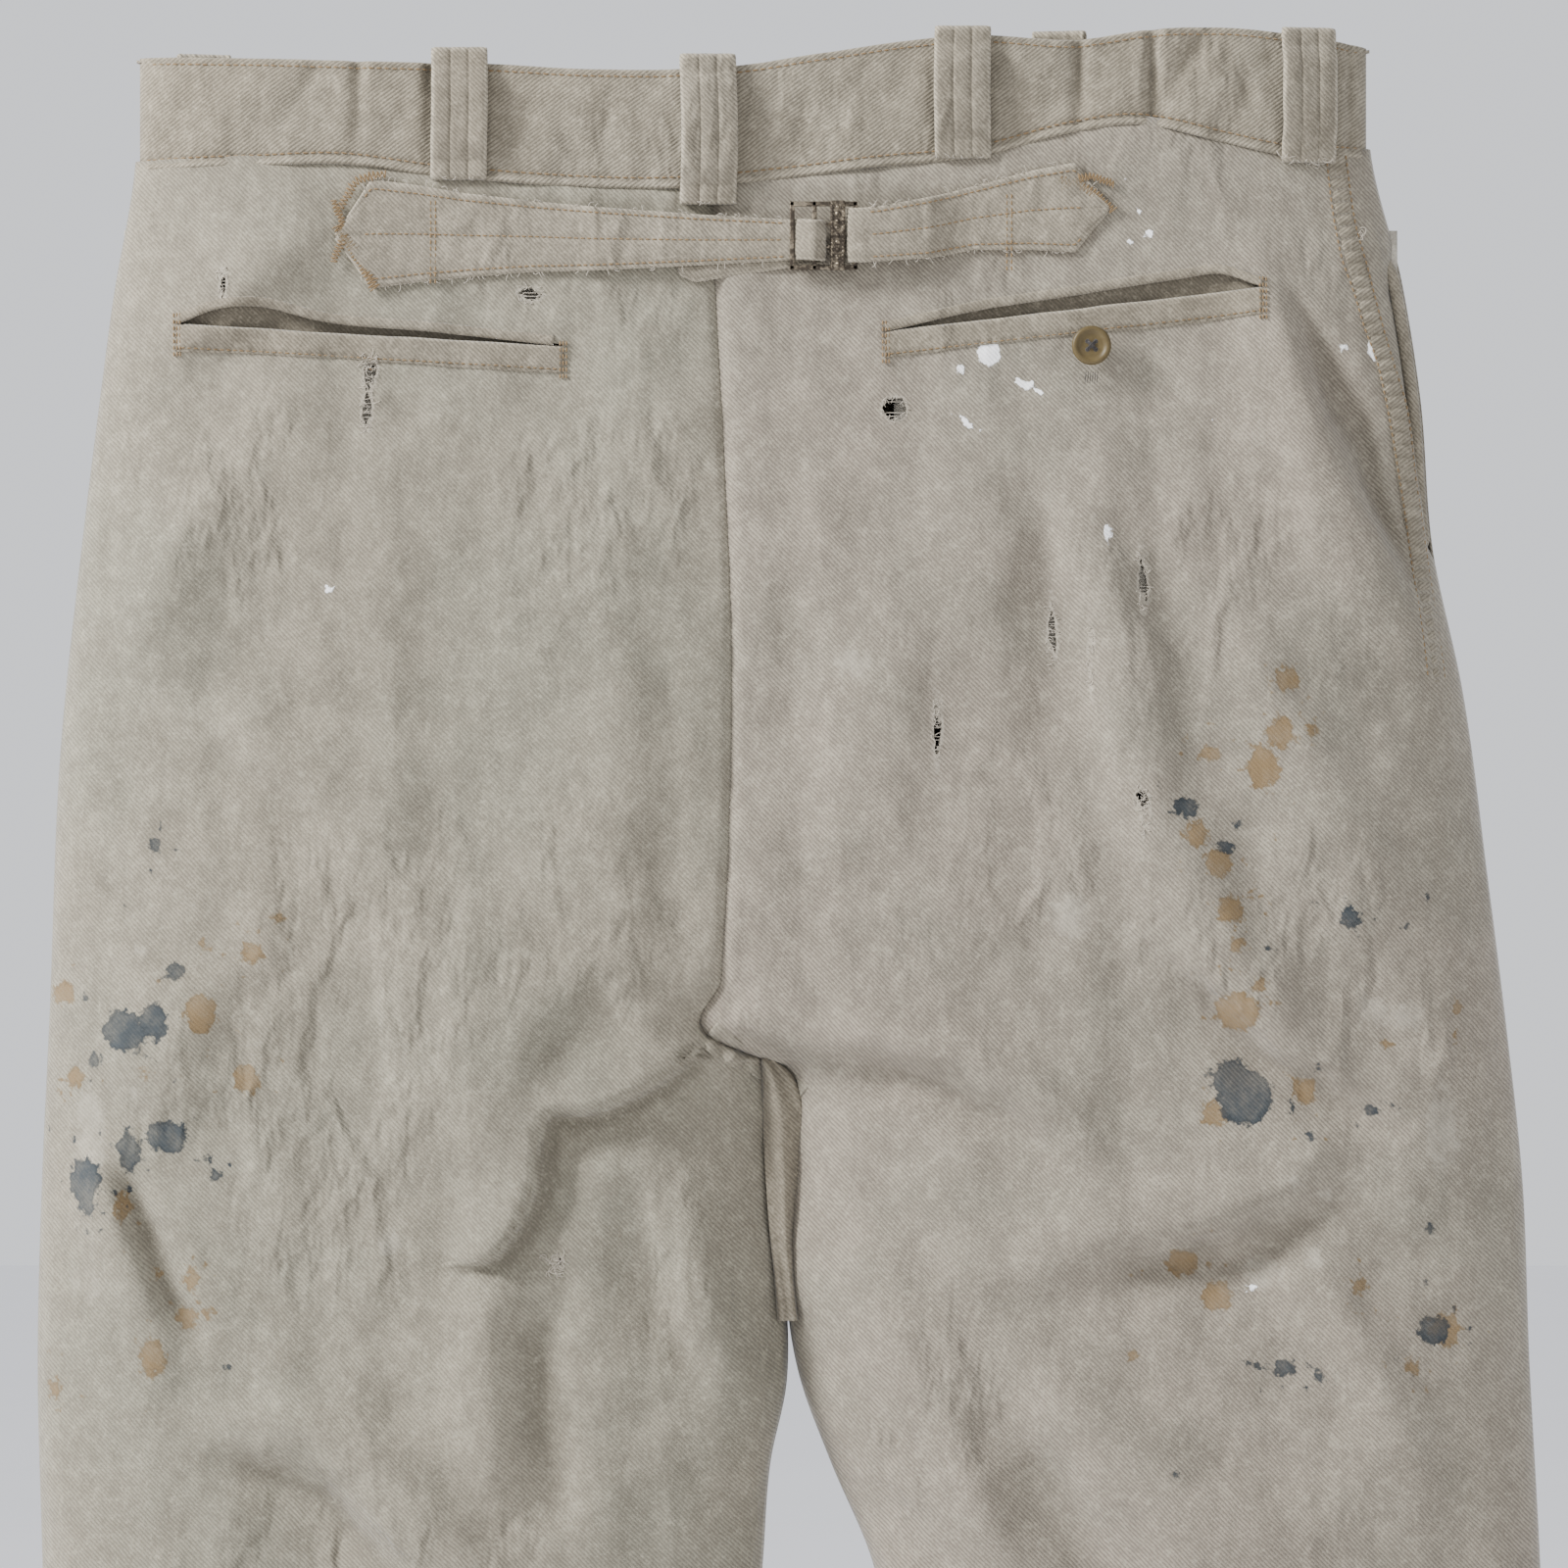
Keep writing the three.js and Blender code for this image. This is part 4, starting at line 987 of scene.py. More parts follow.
def strip(name, path, half_width, lift, material, across=9, step=1.0, node=(), body="garment",
          place=on_cloth,
          wall=0.8, layer=BACK, spotted=False):
    """A narrow raised strip that follows a drawn line over the cloth."""
    p = resample(smooth_points(path), step)
    ahead = np.gradient(p, axis=0)
    ahead /= np.linalg.norm(ahead, axis=1)[:, None] + 1e-9
    side = np.column_stack([-ahead[:, 1], ahead[:, 0]])
    s = np.linspace(0, 1, len(p))
    u = np.linspace(-1, 1, across)
    half = half_width(s) if callable(half_width) else np.full(len(p), half_width)
    x = p[:, :1] + side[:, :1] * half[:, None] * u
    z = p[:, 1:] + side[:, 1:] * half[:, None] * u
    raised = lift(u[None, :], (s * len(p) * step)[:, None]) + 0 * x
    points = place(x, z, 0.0)
    points[..., 1] += layer * raised
    # Painted highlight on the strip's raised parts and painted shade on its lower parts.
    marks = {"rise": np.clip(raised - raised.mean(), 0, 2) * 0.25,
             "painted_shade": np.clip(raised.mean() - raised, 0, 2) * 0.3}
    marks.update({key: np.full(x.shape, UNSPOTTED) for key in SPOTS} if not spotted else distances(x, z))
    faces = grid_faces(*x.shape)
    piece = link(name, points.reshape(-1, 3), faces, material, body=body, node=node,
                 attributes=marks)
    return thicken(piece, wall, offset=0.0)


# ---------------------------------------------------------------- waistband
def waistband(side):
    """The band of one side: round the side fold from the centre back to the fly, turned over at its edges."""
    stops = 150
    s = np.linspace(-1, 1, 2 * stops + 1)
    t = np.abs(s) ** 1.5
    layer = np.where(s < 0, BACK, FRONT)
    inner = np.where(s < 0, -16.0 + 0.15 * side, 15.5 if side == RIGHT else -24.7)
    x = BAND_ENDS[side] + (inner - BAND_ENDS[side]) * t
    top, foot = band_top(x), band_foot(x)
    profile = ((0.0, 1.5, -2.6), (0.0, 0.25, -1.9), (0.0, 0.0, -0.9), (0.0, 0.4, -0.2), (0.0, 1.2, 0.0),
               *((share, 0.0, 0.0) for share in np.linspace(0.045, 0.955, 22)),
               (1.0, 1.3, 0.35), (1.0, 0.2, 0.75), (1.0, -1.0, 0.2), (1.0, -1.2, -1.6))
    share, drop, out = (np.array(column)[:, None] for column in zip(*profile))
    z = top + (foot - top) * share - np.where(share == 0, drop, -drop)
    end_t = t * np.abs(inner - BAND_ENDS[side]) / abs(BAND_ENDS[side])
    depth = WAIST_DEPTH * np.where(end_t < 0.5, round_end(end_t), 1)
    pucker = (0.22 * np.sin(x * 2 * math.pi / 4.6 + 1.3 * np.sin(x / 9))
              * np.exp(-((z - foot - 3.4) / 1.8) ** 2))
    pucker += 0.14 * np.sin(x * 2 * math.pi / 5.2) * np.exp(-((z - top + 3.0) / 1.6) ** 2)
    ditch = -0.5 * np.exp(-((z - foot - 3.0) / 0.8) ** 2) - 0.25 * np.exp(-((z - top + 2.6) / 0.7) ** 2)
    y = (depth + 0.5 + band_waves(x, z) * np.clip(depth / 12, 0, 1)
         + (out + pucker + ditch) * np.clip(depth / 6, 0.2, 1))
    if side == LEFT:
        y = y - (layer == FRONT) * np.exp(-((x - FLY_HINGE) / 4.0) ** 2) * (0.9 + band_waves(x, z))
    points = np.stack([x + 0 * z, layer * np.maximum(y, 0.05), z], -1)
    rise = 0.9 * np.exp(-((z - top) / 1.6) ** 2) + 1.1 * np.exp(-((z - foot) / 1.7) ** 2)
    # Painted shade in the ditches beside the band's stitching and in the dents of its drapes.
    painted_shade = 1.3 * np.exp(-((z - foot - 3.2) / 1.0) ** 2) + 0.6 * np.exp(-((z - top + 2.8) / 0.8) ** 2)
    marks = {"rise": rise, "painted_shade": painted_shade + np.clip(-band_waves(x, z) - 0.7, 0, 2)}
    marks.update({key: field if key in ("white", "pale") else np.full(z.shape, -30.0)
                  for key, field in distances(x + 0 * z, z).items()})
    faces = grid_faces(*z.shape)
    word = "left" if side == LEFT else "right"
    piece = link(f"waistband_{word}_cloth", points.reshape(-1, 3),
                 faces if side == LEFT else faces[:, ::-1],
                 twill_band, node=(f"waistband_{word}",), attributes=marks)
    thicken(piece, 1.3)
    rows = []
    for inset_top, inset_foot in ((2.7, None), (None, 3.1)):
        for face_layer, x0, x1 in ((BACK, *sorted((-16.0 + side, BAND_ENDS[side] - 3.0 * side))),
                                   (FRONT, *sorted((17.0 if side == RIGHT else -26.0,
                                                    BAND_ENDS[side] - 3.0 * side)))):
            along_x = np.arange(x0, x1, 1.0)
            level = band_top(along_x) - inset_top if inset_top else band_foot(along_x) + inset_foot
            rows.append(band_face(along_x, level, face_layer, 0.05))
    stitches(f"waistband_{word}_topstitching", rows)
    lining_rows = np.linspace(0, 1, 8)[:, None]
    z_in = (top - 3.0) + (foot - 2.5 - top + 3.0) * lining_rows
    inside = np.clip(depth + 0 * z_in - 3.0 + 0.8 * waves(x + 0 * z_in, z_in, 40, 30), 0.05, None)
    lined = np.stack([(BAND_ENDS[side] - 2.6 * side) + (x - BAND_ENDS[side] + 0 * z_in) * 0.988,
                      layer * inside, z_in], -1)
    lined_faces = grid_faces(*z_in.shape)
    lining = link(f"waistband_lining_{word}_cloth", lined.reshape(-1, 3),
                  lined_faces[:, ::-1] if side == LEFT else lined_faces, pocketing,
                  node=(f"waistband_lining_{word}",), attributes=flat_marks(z_in.size))
    thicken(lining, 0.6)


def flat_marks(count):
    """Marks for a piece without spots."""
    marks = {"rise": np.zeros(count), "painted_shade": np.zeros(count)}
    marks.update({key: np.full(count, -30.0) for key in SPOTS})
    return marks


for half in (LEFT, RIGHT):
    waistband(half)


# ---------------------------------------------------------------- belt loops
def loop_profile(half):
    """(height, stand-off) points from the folded top end, over the bow, to the folded foot."""
    upper = [(half - 3.0, 0.7), (half - 0.4, 0.6), (half + 0.5, 1.3), (half, 2.2), (half - 2.4, 2.6),
             (half - 6.0, 2.9), (half - 9.5, 4.6), (half - 13.0, 5.8)]
    lower = [(-v, out) for v, out in reversed(upper)]
    return resample(np.array(upper + [(0.0, 6.0)] + lower), 0.9)


def belt_loop(name, layer, x, half, z_middle, white=False):
    """A folded strip sewn down at both ends, with two rows of stitching."""
    width = 10.2
    step = 6.0
    near = band_face(np.array([x - step, x + step]), np.array([z_middle, z_middle]), layer)
    across = near[1] - near[0]
    across[2] = 0
    across /= np.linalg.norm(across)
    out = np.array([across[1], -across[0], 0.0])
    out *= layer * np.sign(out[1]) if out[1] else 1
    middle = (near[0] + near[1]) / 2
    profile = loop_profile(half)
    u = np.linspace(-1, 1, 31)
    edge = 1 - np.abs(u) ** 10
    v, away = profile[:, :1], profile[:, 1:]
    wobble = 0.22 * waves(u * 10 + x, v, 14, 5)
    shape = away + wobble - 0.9 * (1 - edge) - 0.5 * np.exp(-((np.abs(u) - 0.34) / 0.07) ** 2)
    lean = 0.35 * np.sin(v / 11 + x)
    points = (middle[None, None] + across * (u * width + lean)[..., None] + out * shape[..., None]
              + np.array([0, 0, 1.0]) * (v + 0 * u)[..., None])
    marks = flat_marks(points.shape[0] * points.shape[1])
    wear = 1.8 * np.exp(-((np.abs(u) - 0.97) / 0.09) ** 2) + 0 * v
    wear = wear + 1.2 * np.exp(-((np.abs(v) - half) / 1.3) ** 2)
    marks["rise"] = wear
    # Painted shade in the grooves along the two stitch rows.
    marks["painted_shade"] = 1.1 * np.exp(-((np.abs(u) - 0.34) / 0.07) ** 2) + 0 * v
    faces = grid_faces(points.shape[0], points.shape[1])
    flip = layer == BACK
    piece = link(name + "_strip", points.reshape(-1, 3), faces if flip else faces[:, ::-1], twill_loop,
                 node=(name,),
                 attributes=marks)
    thicken(piece, 1.1)
    rows = []
    for share in (-0.34, 0.34):
        keep = (np.abs(profile[:, 0]) < half - 1.2) & (profile[:, 1] > 2.2)
        line_points = (middle[None] + across * share * width + out * (profile[keep, 1] + 0.05)[:, None]
                       + np.array([0, 0, 1.0]) * profile[keep, 0][:, None])
        rows.append(line_points)
    for end in (-1, 1):
        for level in (half - 2.2, half - 5.4):
            line_x = np.linspace(-0.75, 0.75, 16) * width
            rows.append(middle[None] + across * line_x[:, None] + out * 2.75
                        + np.array([0, 0, end * level]))
    stitches(name + "_stitching", rows, length=1.9, gap=0.8)
    frays = []
    for k in range(16 if white else 6):
        u0 = rng.uniform(-1, 1) * width
        root = middle + across * u0 + out * 2.3 + np.array([0, 0, -half])
        frays.append(fray((root[0], root[2]), (rng.uniform(-1, 1),
                                               -1.0 if not white else rng.uniform(-1, 0.6)),
                          rng.uniform(1.5, 5.5 if white else 3.0), rng.uniform(-3, 3), root[1] - 0.3))
    tubes(name + "_frayed_foot", frays, 0.13, pale_thread, sides=4)


belt_loop("belt_loop_back_left", BACK, -112, 24, -22.8)
belt_loop("belt_loop_back_centre", BACK, -17, 27.5, -28.9)
belt_loop("belt_loop_back_right", BACK, 80, 24, -14.6)
belt_loop("belt_loop_side_right", BACK, 212, 24.5, -15.4, white=True)
belt_loop("belt_loop_side_left", FRONT, -212, 24, -22.0)
belt_loop("belt_loop_front_left", FRONT, -105, 24, -25.5)
belt_loop("belt_loop_front_right", FRONT, 118, 24, -12.5)


# ---------------------------------------------------------------- cinch strap and buckle
BAR_Y = -23.97
BUCKLE_LEFT, STRAP_BAR, ORNAMENT, ANCHOR_BAR = 15.0, 23.5, 32.4, 39.0
STRAP_DROP, BUCKLE_TALL, RAIL = 70.0, 26.0, 1.8


def ribbon(name, stops, body="garment", node=()):
    """A two-ply strap through stops in order along it: (x, y or None for the cloth, middle z, width)."""
    p = np.array([(x, float(surface(BACK, x, z)) - 1.9 if y is None else y, z, width, y is None)
                  for x, y, z, width in stops], float)
    s = np.concatenate([[0], np.cumsum(np.hypot(np.hypot(np.diff(p[:, 0]),
                                                         np.diff(p[:, 1]) * (p[1:, 4] == 0)
                                                         * (p[:-1, 4] == 0)), 0.01))])
    at = np.arange(0, s[-1], 0.9)
    x, free_y, z_mid, width, laid = (np.interp(at, s, p[:, k]) for k in range(5))
    u = np.linspace(-1, 1, 25)
    z = z_mid[:, None] + u * width[:, None] / 2
    cloth_y = surface(BACK, x[:, None] + 0 * z, z) - 1.9
    y = cloth_y * laid[:, None] + free_y[:, None] * (1 - laid)[:, None]
    in_front = np.arange(len(at)) < np.argmax(np.abs(x - stops[0][0]) > 168 if stops[0][0] < 0 else x < 45)
    y = np.where(in_front[:, None], np.minimum(y, cloth_y), y)
    y = y + 0.25 * waves(x[:, None], z, 13, 8)
    ahead_x, ahead_y = np.gradient(x), np.gradient(y[:, 12])
    size = np.hypot(ahead_x, ahead_y) + 1e-9
    normal = np.column_stack([ahead_y / size, -ahead_x / size])
    bulge = (0.5 * (1 - u ** 8) - 0.4 * np.exp(-((np.abs(u) - 0.8) / 0.05) ** 2)
             - 0.3 * np.exp(-(u / 0.05) ** 2))
    facing = np.sign(-normal[:, 1])
    facing[facing == 0] = 1
    points = np.stack([x[:, None] + normal[:, :1] * facing[:, None] * bulge,
                       y + normal[:, 1:] * facing[:, None] * bulge, z], -1)
    marks = flat_marks(z.size)
    marks["rise"] = 1.6 * np.exp(-((np.abs(u) - 0.97) / 0.06) ** 2) + 0 * z
    # Painted shade in the grooves along the strap's stitching and middle.
    marks["painted_shade"] = 1.2 * np.exp(-((np.abs(u) - 0.8) / 0.05) ** 2) + 0.9 * np.exp(-(u / 0.05) ** 2) + 0 * z
    piece = link(name + "_strap", points.reshape(-1, 3), grid_faces(*z.shape), twill_strap, body=body,
                 node=node,
                 attributes=marks)
    thicken(piece, 1.5, offset=0.0)
    return piece, s[-1], x, y, z


left_stops = [(-159, None, -70, 1.0), (-146, None, -69, 41), (-144.5, None, -69, 41.5),
              (-128, None, -69, 37),
              (-110, None, -69.5, 32), (-84, None, -70, 27), (-60, -21.9, -71, 24), (-20, -21.9, -71.5, 19),
              (10, -21.8, -71.5, 15.5), (16, -22.6, -71.5, 15), (19, -25.4, -71.5, 15),
              (23.5, -27.6, -72, 15),
              (26.6, -25.4, -72, 15), (27.2, -23.6, -72.2, 15), (25.5, -21.4, -72.6, 15),
              (20, -20.4, -73.4, 15),
              (-8, -20.1, -78, 14), (-22, -20.1, -81, 12.5), (-27, -20.2, -81.4, 7),
              (-28.4, -20.2, -81.4, 1.5)]
right_stops = [(136, None, -59, 1.0), (123, None, -59, 34), (121.5, None, -59, 34), (106, None, -60, 30),
               (84, None, -63, 24), (67, -24.3, -67, 23), (48, -26.0, -69.5, 20.6), (42, -26.2, -70, 20.4),
               (37.4, -25.6, -70, 20.4), (36.5, -23.9, -70, 20.4), (38, -22.0, -70, 20.4),
               (44, -21.6, -69.5, 20.4),
               (60, -21.4, -68, 20.4)]
left_strap = ribbon("cinch_strap_left", left_stops, node=("cinch_strap_left",))
right_strap = ribbon("cinch_strap_right", right_stops, node=("cinch_strap_right",))


def strap_rows(strap, first, last, shares):
    _, _, x, y, z = strap
    keep = slice(first, last)
    rows = []
    for share in shares:
        k = int(round((share + 1) / 2 * 24))
        rows.append(np.column_stack([x[keep], y[keep, k] - 1.05, z[keep, k]]))
    return rows


left_front = int(np.argmax(left_strap[2] > 12))
right_front = int(np.argmax(right_strap[2] < 44))
stitches("cinch_strap_stitching",
         strap_rows(left_strap, 12, left_front, (-0.84, 0.0, 0.84))
         + strap_rows(right_strap, 12, right_front, (-0.84, 0.0, 0.84))
         + [np.array([(x, float(surface(BACK, x, z)) - 3.05, z) for z in np.arange(-88, -54, 1.0)])
            for x in (-123, -121.2)]
         + [np.array([(x, -26.9 if x < 90 else float(surface(BACK, x, z)) - 3.05, z)
                      for z in np.arange(-83, -52, 1.0)])
            for x in (97, 98.8)],
         length=1.9, gap=0.8)


def strap_frays(strap, first, last, count):
    _, _, x, y, z = strap
    made = []
    for _ in range(count):
        k = int(rng.integers(first, last))
        edge = 0 if rng.random() < 0.5 else 24
        made.append(fray((x[k], z[k, edge]), (rng.uniform(-0.8, 0.8), -1 if edge == 0 else 1),
                         rng.uniform(1.0, 3.4),
                         rng.uniform(-3, 3), y[k, edge] - 0.5))
    return made


tubes("cinch_strap_frays", strap_frays(left_strap, 4, left_front, 70)
      + strap_frays(right_strap, 4, right_front, 46),
      0.11, pale_thread, sides=4)


def soft_box(low, high, bevel=0.35, segments=3):
    """Corners and faces of a box, for one part of the buckle."""
    made = bmesh.new()
    bmesh.ops.create_cube(made, size=1.0)
    low, high = np.array(low, float), np.array(high, float)
    for vert in made.verts:
        vert.co = [float(low[k] + (vert.co[k] + 0.5) * (high[k] - low[k])) for k in range(3)]
    bmesh.ops.bevel(made, geom=made.edges[:], offset=bevel, segments=segments, affect="EDGES", profile=0.5)
    made.verts.index_update()
    verts = [tuple(v.co) for v in made.verts]
    faces = [tuple(v.index for v in f.verts) for f in made.faces]
    made.free()
    return verts, faces


def dome(centre, radius, height, way, rings=4, around=10):
    """A low round stud whose flat side is at centre and whose crown points along Y by way."""
    verts = [(centre[0], centre[1] + way * height, centre[2])]
    faces = []
    for r in range(1, rings + 1):
        tilt = math.pi / 2 * r / rings
        for k in range(around):
            turn = 2 * math.pi * k / around
            verts.append((centre[0] + radius * math.sin(tilt) * math.cos(turn),
                          centre[1] + way * height * math.cos(tilt),
                          centre[2] + radius * math.sin(tilt) * math.sin(turn)))
    for k in range(around):
        faces.append((0, 1 + k, 1 + (k + 1) % around))
        for r in range(rings - 1):
            a, b = 1 + r * around, 1 + (r + 1) * around
            faces.append((a + k, b + k, b + (k + 1) % around, a + (k + 1) % around))
    faces.append(tuple(1 + (rings - 1) * around + k for k in range(around))[::-1])
    return verts, faces


def joined(parts):
    """Several sets of corners and faces as one."""
    verts, faces = [], []
    for part_verts, part_faces in parts:
        first = len(verts)
        verts.extend(part_verts)
        faces.extend(tuple(first + i for i in face) for face in part_faces)
    return verts, faces


def buckle():
    """Cinch buckle: two rails, three bars and a wide ornamented plate with rows of studs and a rope edge."""
    low, high = -STRAP_DROP - BUCKLE_TALL / 2, -STRAP_DROP + BUCKLE_TALL / 2
    half = RAIL / 2
    parts = [soft_box((BUCKLE_LEFT - half, BAR_Y - half, z - half),
                      (ANCHOR_BAR + half, BAR_Y + half, z + half))
             for z in (low + half, high - half)]
    parts += [soft_box((x - half, BAR_Y - half, low), (x + half, BAR_Y + half, high))
              for x in (BUCKLE_LEFT, STRAP_BAR, ANCHOR_BAR)]
    parts.append(soft_box((ORNAMENT - 2.8, BAR_Y - 1.9, low - 0.3),
                          (ORNAMENT + 2.8, BAR_Y - 0.5, high + 0.3), 0.45))
    for k in range(9):
        z = low + 2.2 + k * (BUCKLE_TALL - 4.4) / 8
        parts.append(dome((ORNAMENT, BAR_Y - 1.85, z), 1.15 if k % 2 else 0.8, 0.7, -1))
    for side in (-1, 1):
        for k in range(17):
            z = low + 0.9 + k * (BUCKLE_TALL - 1.8) / 16
            parts.append(dome((ORNAMENT + side * 2.1, BAR_Y - 1.8, z), 0.62, 0.5, -1, 3, 8))
    for z in (-STRAP_DROP - 4.2, -STRAP_DROP + 4.2):
        parts.append(soft_box((STRAP_BAR - 0.6, BAR_Y - 0.7, z - 0.6),
                              (ORNAMENT - 2.4, BAR_Y + 0.5, z + 0.6), 0.3))
    verts, faces = joined(parts)
    link("cinch_buckle_metal", verts, faces, bronze, body="buckle", node=("cinch_buckle",))


buckle()


# ---------------------------------------------------------------- back pockets
def welt(side):
    """A back pocket's welt."""
    word = "left" if side == LEFT else "right"
    x0, x1 = SLITS[side]
    x = np.arange(x0 - 1.5, x1 + 1.6, 0.9)
    v = np.linspace(0, 1, 15)[:, None]
    tall = 10.6 + 0.5 * np.sin(x / 21)
    z = welt_top(side, x) - v * tall + 0.35 * waves(x + 0 * v, v * 10, 30, 3)
    pucker = 0.18 * np.sin(x * 2 * math.pi / 4.4) * np.exp(-((v - 0.86) / 0.12) ** 2)
    rolled = 1.5 * np.sqrt(np.clip(1 - (1 - np.clip(v / 0.14, 0, 1)) ** 2, 0, 1)) + 0.2 + pucker
    rolled = rolled - 0.6 * np.exp(-((v - 0.84) / 0.05) ** 2) - 1.1 * ease(0.93, 1.0, v)
    ends = np.clip(np.minimum(x - x[0], x[-1] - x) / 1.6, 0.15, 1)
    points = on_cloth(x + 0 * v, z)
    points[..., 1] = np.minimum(points[..., 1], smooth_rows(points[..., 1])) - rolled * ends
    marks = flat_marks(z.size)
    marks["rise"] = 1.7 * np.exp(-(v / 0.09) ** 2) + 0 * x + 0.9 * np.exp(-((v - 1.0) / 0.06) ** 2)
    # Painted shade in the groove along the welt's stitching.
    marks["painted_shade"] = 1.2 * np.exp(-((v - 0.84) / 0.05) ** 2) + 0 * x
    faces = grid_faces(*z.shape)
    piece = link(f"back_pocket_welt_{word}_cloth", points.reshape(-1, 3), faces[:, ::-1], twill_loop,
                 node=(f"back_pocket_welt_{word}",), attributes=marks)
    thicken(piece, 1.0, offset=-1.0)
    rows = []
    inner = x[(x > x0 + 1) & (x < x1 - 1)]
    for drop, lift in ((9.0, 1.3), (13.2, 0.35)):
        rows.append(on_cloth(inner, welt_top(side, inner) - drop, lift))
    rows.append(on_cloth(inner, welt_top(side, inner) + lip_rise(side, inner) + 2.3, 0.35))
    for end in (x0 - 0.4, x1 + 0.4):
        for shift in (-1.0, 0.2, 1.4):
            level = np.arange(-12.5, 5.0, 0.8)
            rows.append(on_cloth(end + shift + 0 * level, welt_top(side, end) + level, 1.5))
    stitches(f"back_pocket_stitching_{word}", rows, length=1.9, gap=0.8)


def smooth_rows(y):
    """The same depths, eased so that a folded strip bridges small hollows."""
    eased = y.copy()
    for _ in range(3):
        eased[:, 1:-1] = (eased[:, :-2] + eased[:, 1:-1] + eased[:, 2:]) / 3
    return eased


def lip(side):
    """The slit's upper edge: a rolled, worn lip that stands a little off the cloth."""
    x0, x1 = SLITS[side]
    x = np.arange(x0 - 0.5, x1 + 0.6, 1.0)
    z = welt_top(side, x) + lip_rise(side, x)
    path = np.column_stack([x, z + 1.1])
    word = "left" if side == LEFT else "right"
    strip(f"back_pocket_lip_{word}", path[::4], 1.7,
          lambda u, s: 0.55 + 0.75 * np.sqrt(np.clip(1 - u ** 2, 0, 1)) + 0.12 * np.sin(s / 1.1),
          twill_loop, across=9)


def pouch(name, side, layer, x0, x1, high, low, near, far, mouth):
    """A pocket bag: one piece of cloth that goes down from the mouth, round the foot and up behind."""
    x = np.linspace(x0, x1, 40)
    down = np.linspace(mouth, low, 26)
    up = np.linspace(low, high, 32)
    z = np.concatenate([down, up])[:, None] + 0 * x
    gap = np.concatenate([np.full(26, near), np.full(32, far)])
    turn = np.exp(-((np.concatenate([down, up]) - low) / 9.0) ** 2)
    gap = gap + (np.concatenate([np.full(26, 1), np.full(32, -1)]) * (far - near) / 2) * turn
    side_t = np.clip(np.minimum(x - x[0], x[-1] - x) / 8.0, 0, 1)
    middle = (near + far) / 2
    spread = middle + (gap[:, None] - middle) * np.sqrt(np.clip(1 - (1 - side_t) ** 2, 0.02, 1))
    slack = 0.6 * waves(x + 0 * z, z, 42, 20) * side_t
    base = np.where(side == LEFT, base_depth(LEFT, layer, x + 0 * z, z),
                    base_depth(RIGHT, layer, x + 0 * z, z))
    cloth_relief = np.minimum(fold_at(layer, x + 0 * z, z), 1.5) * np.clip(base / 12, 0, 1)
    y = layer * np.maximum(base + cloth_relief - spread - slack, 0.4)
    points = np.stack([x + 0 * z, y, z], -1)
    piece = link(name + "_cloth", points.reshape(-1, 3), grid_faces(*z.shape), pocketing, node=(name,),
                 attributes=flat_marks(z.size))
    thicken(piece, 0.5, offset=0.0)
    return piece


for half in (LEFT, RIGHT):
    welt(half)
    lip(half)
pouch("back_pocket_bag_left", LEFT, BACK, -222, -74, -84, -256, 2.6, 5.2, -119)
pouch("back_pocket_bag_right", RIGHT, BACK, 54, 196, -70, -256, 2.6, 5.2, -117)
pouch("side_pocket_bag_left", LEFT, FRONT, -242, -92, -66, -316, 2.6, 7.5, -66)
pouch("side_pocket_bag_right", RIGHT, FRONT, 108, 248, -66, -316, 2.6, 7.5, -66)


def facing(side):
    """The twill facing seen through a back pocket's slit, darkened all over with painted shade."""
    x0, x1 = SLITS[side]
    word = "left" if side == LEFT else "right"
    x = np.linspace(x0 + 0.5, x1 - 0.5, 70)
    v = np.linspace(0, 1, 14)[:, None]
    z = welt_top(side, x) + 13.5 - 25 * v
    points = on_cloth(x + 0 * v, z)
    points[..., 1] += 1.9 + 0.9 * np.sin(math.pi * v)
    marks = flat_marks(z.size)
    # Painted shade over the whole facing, for the inside of the slit.
    marks["painted_shade"] = np.full(z.size, 1.2)
    piece = link(f"back_pocket_facing_{word}", points.reshape(-1, 3), grid_faces(*z.shape)[:, ::-1],
                 twill_loop,
                 attributes=marks)
    thicken(piece, 0.6, offset=0.0)


facing(LEFT)
facing(RIGHT)


# ---------------------------------------------------------------- buttons
def lathe(profile, around=40):
    """A profile of (radius, y) points turned round the Y direction."""
    verts, faces = [], []
    for radius, height in profile:
        for k in range(around):
            turn = 2 * math.pi * k / around
            verts.append((radius * math.cos(turn), height, radius * math.sin(turn)))
    for r in range(len(profile) - 1):
        for k in range(around):
            n = (k + 1) % around
            faces.append((r * around + k, r * around + n, (r + 1) * around + n, (r + 1) * around + k))
    faces.append(tuple(range(around)))
    faces.append(tuple((len(profile) - 1) * around + k for k in range(around))[::-1])
    return verts, faces


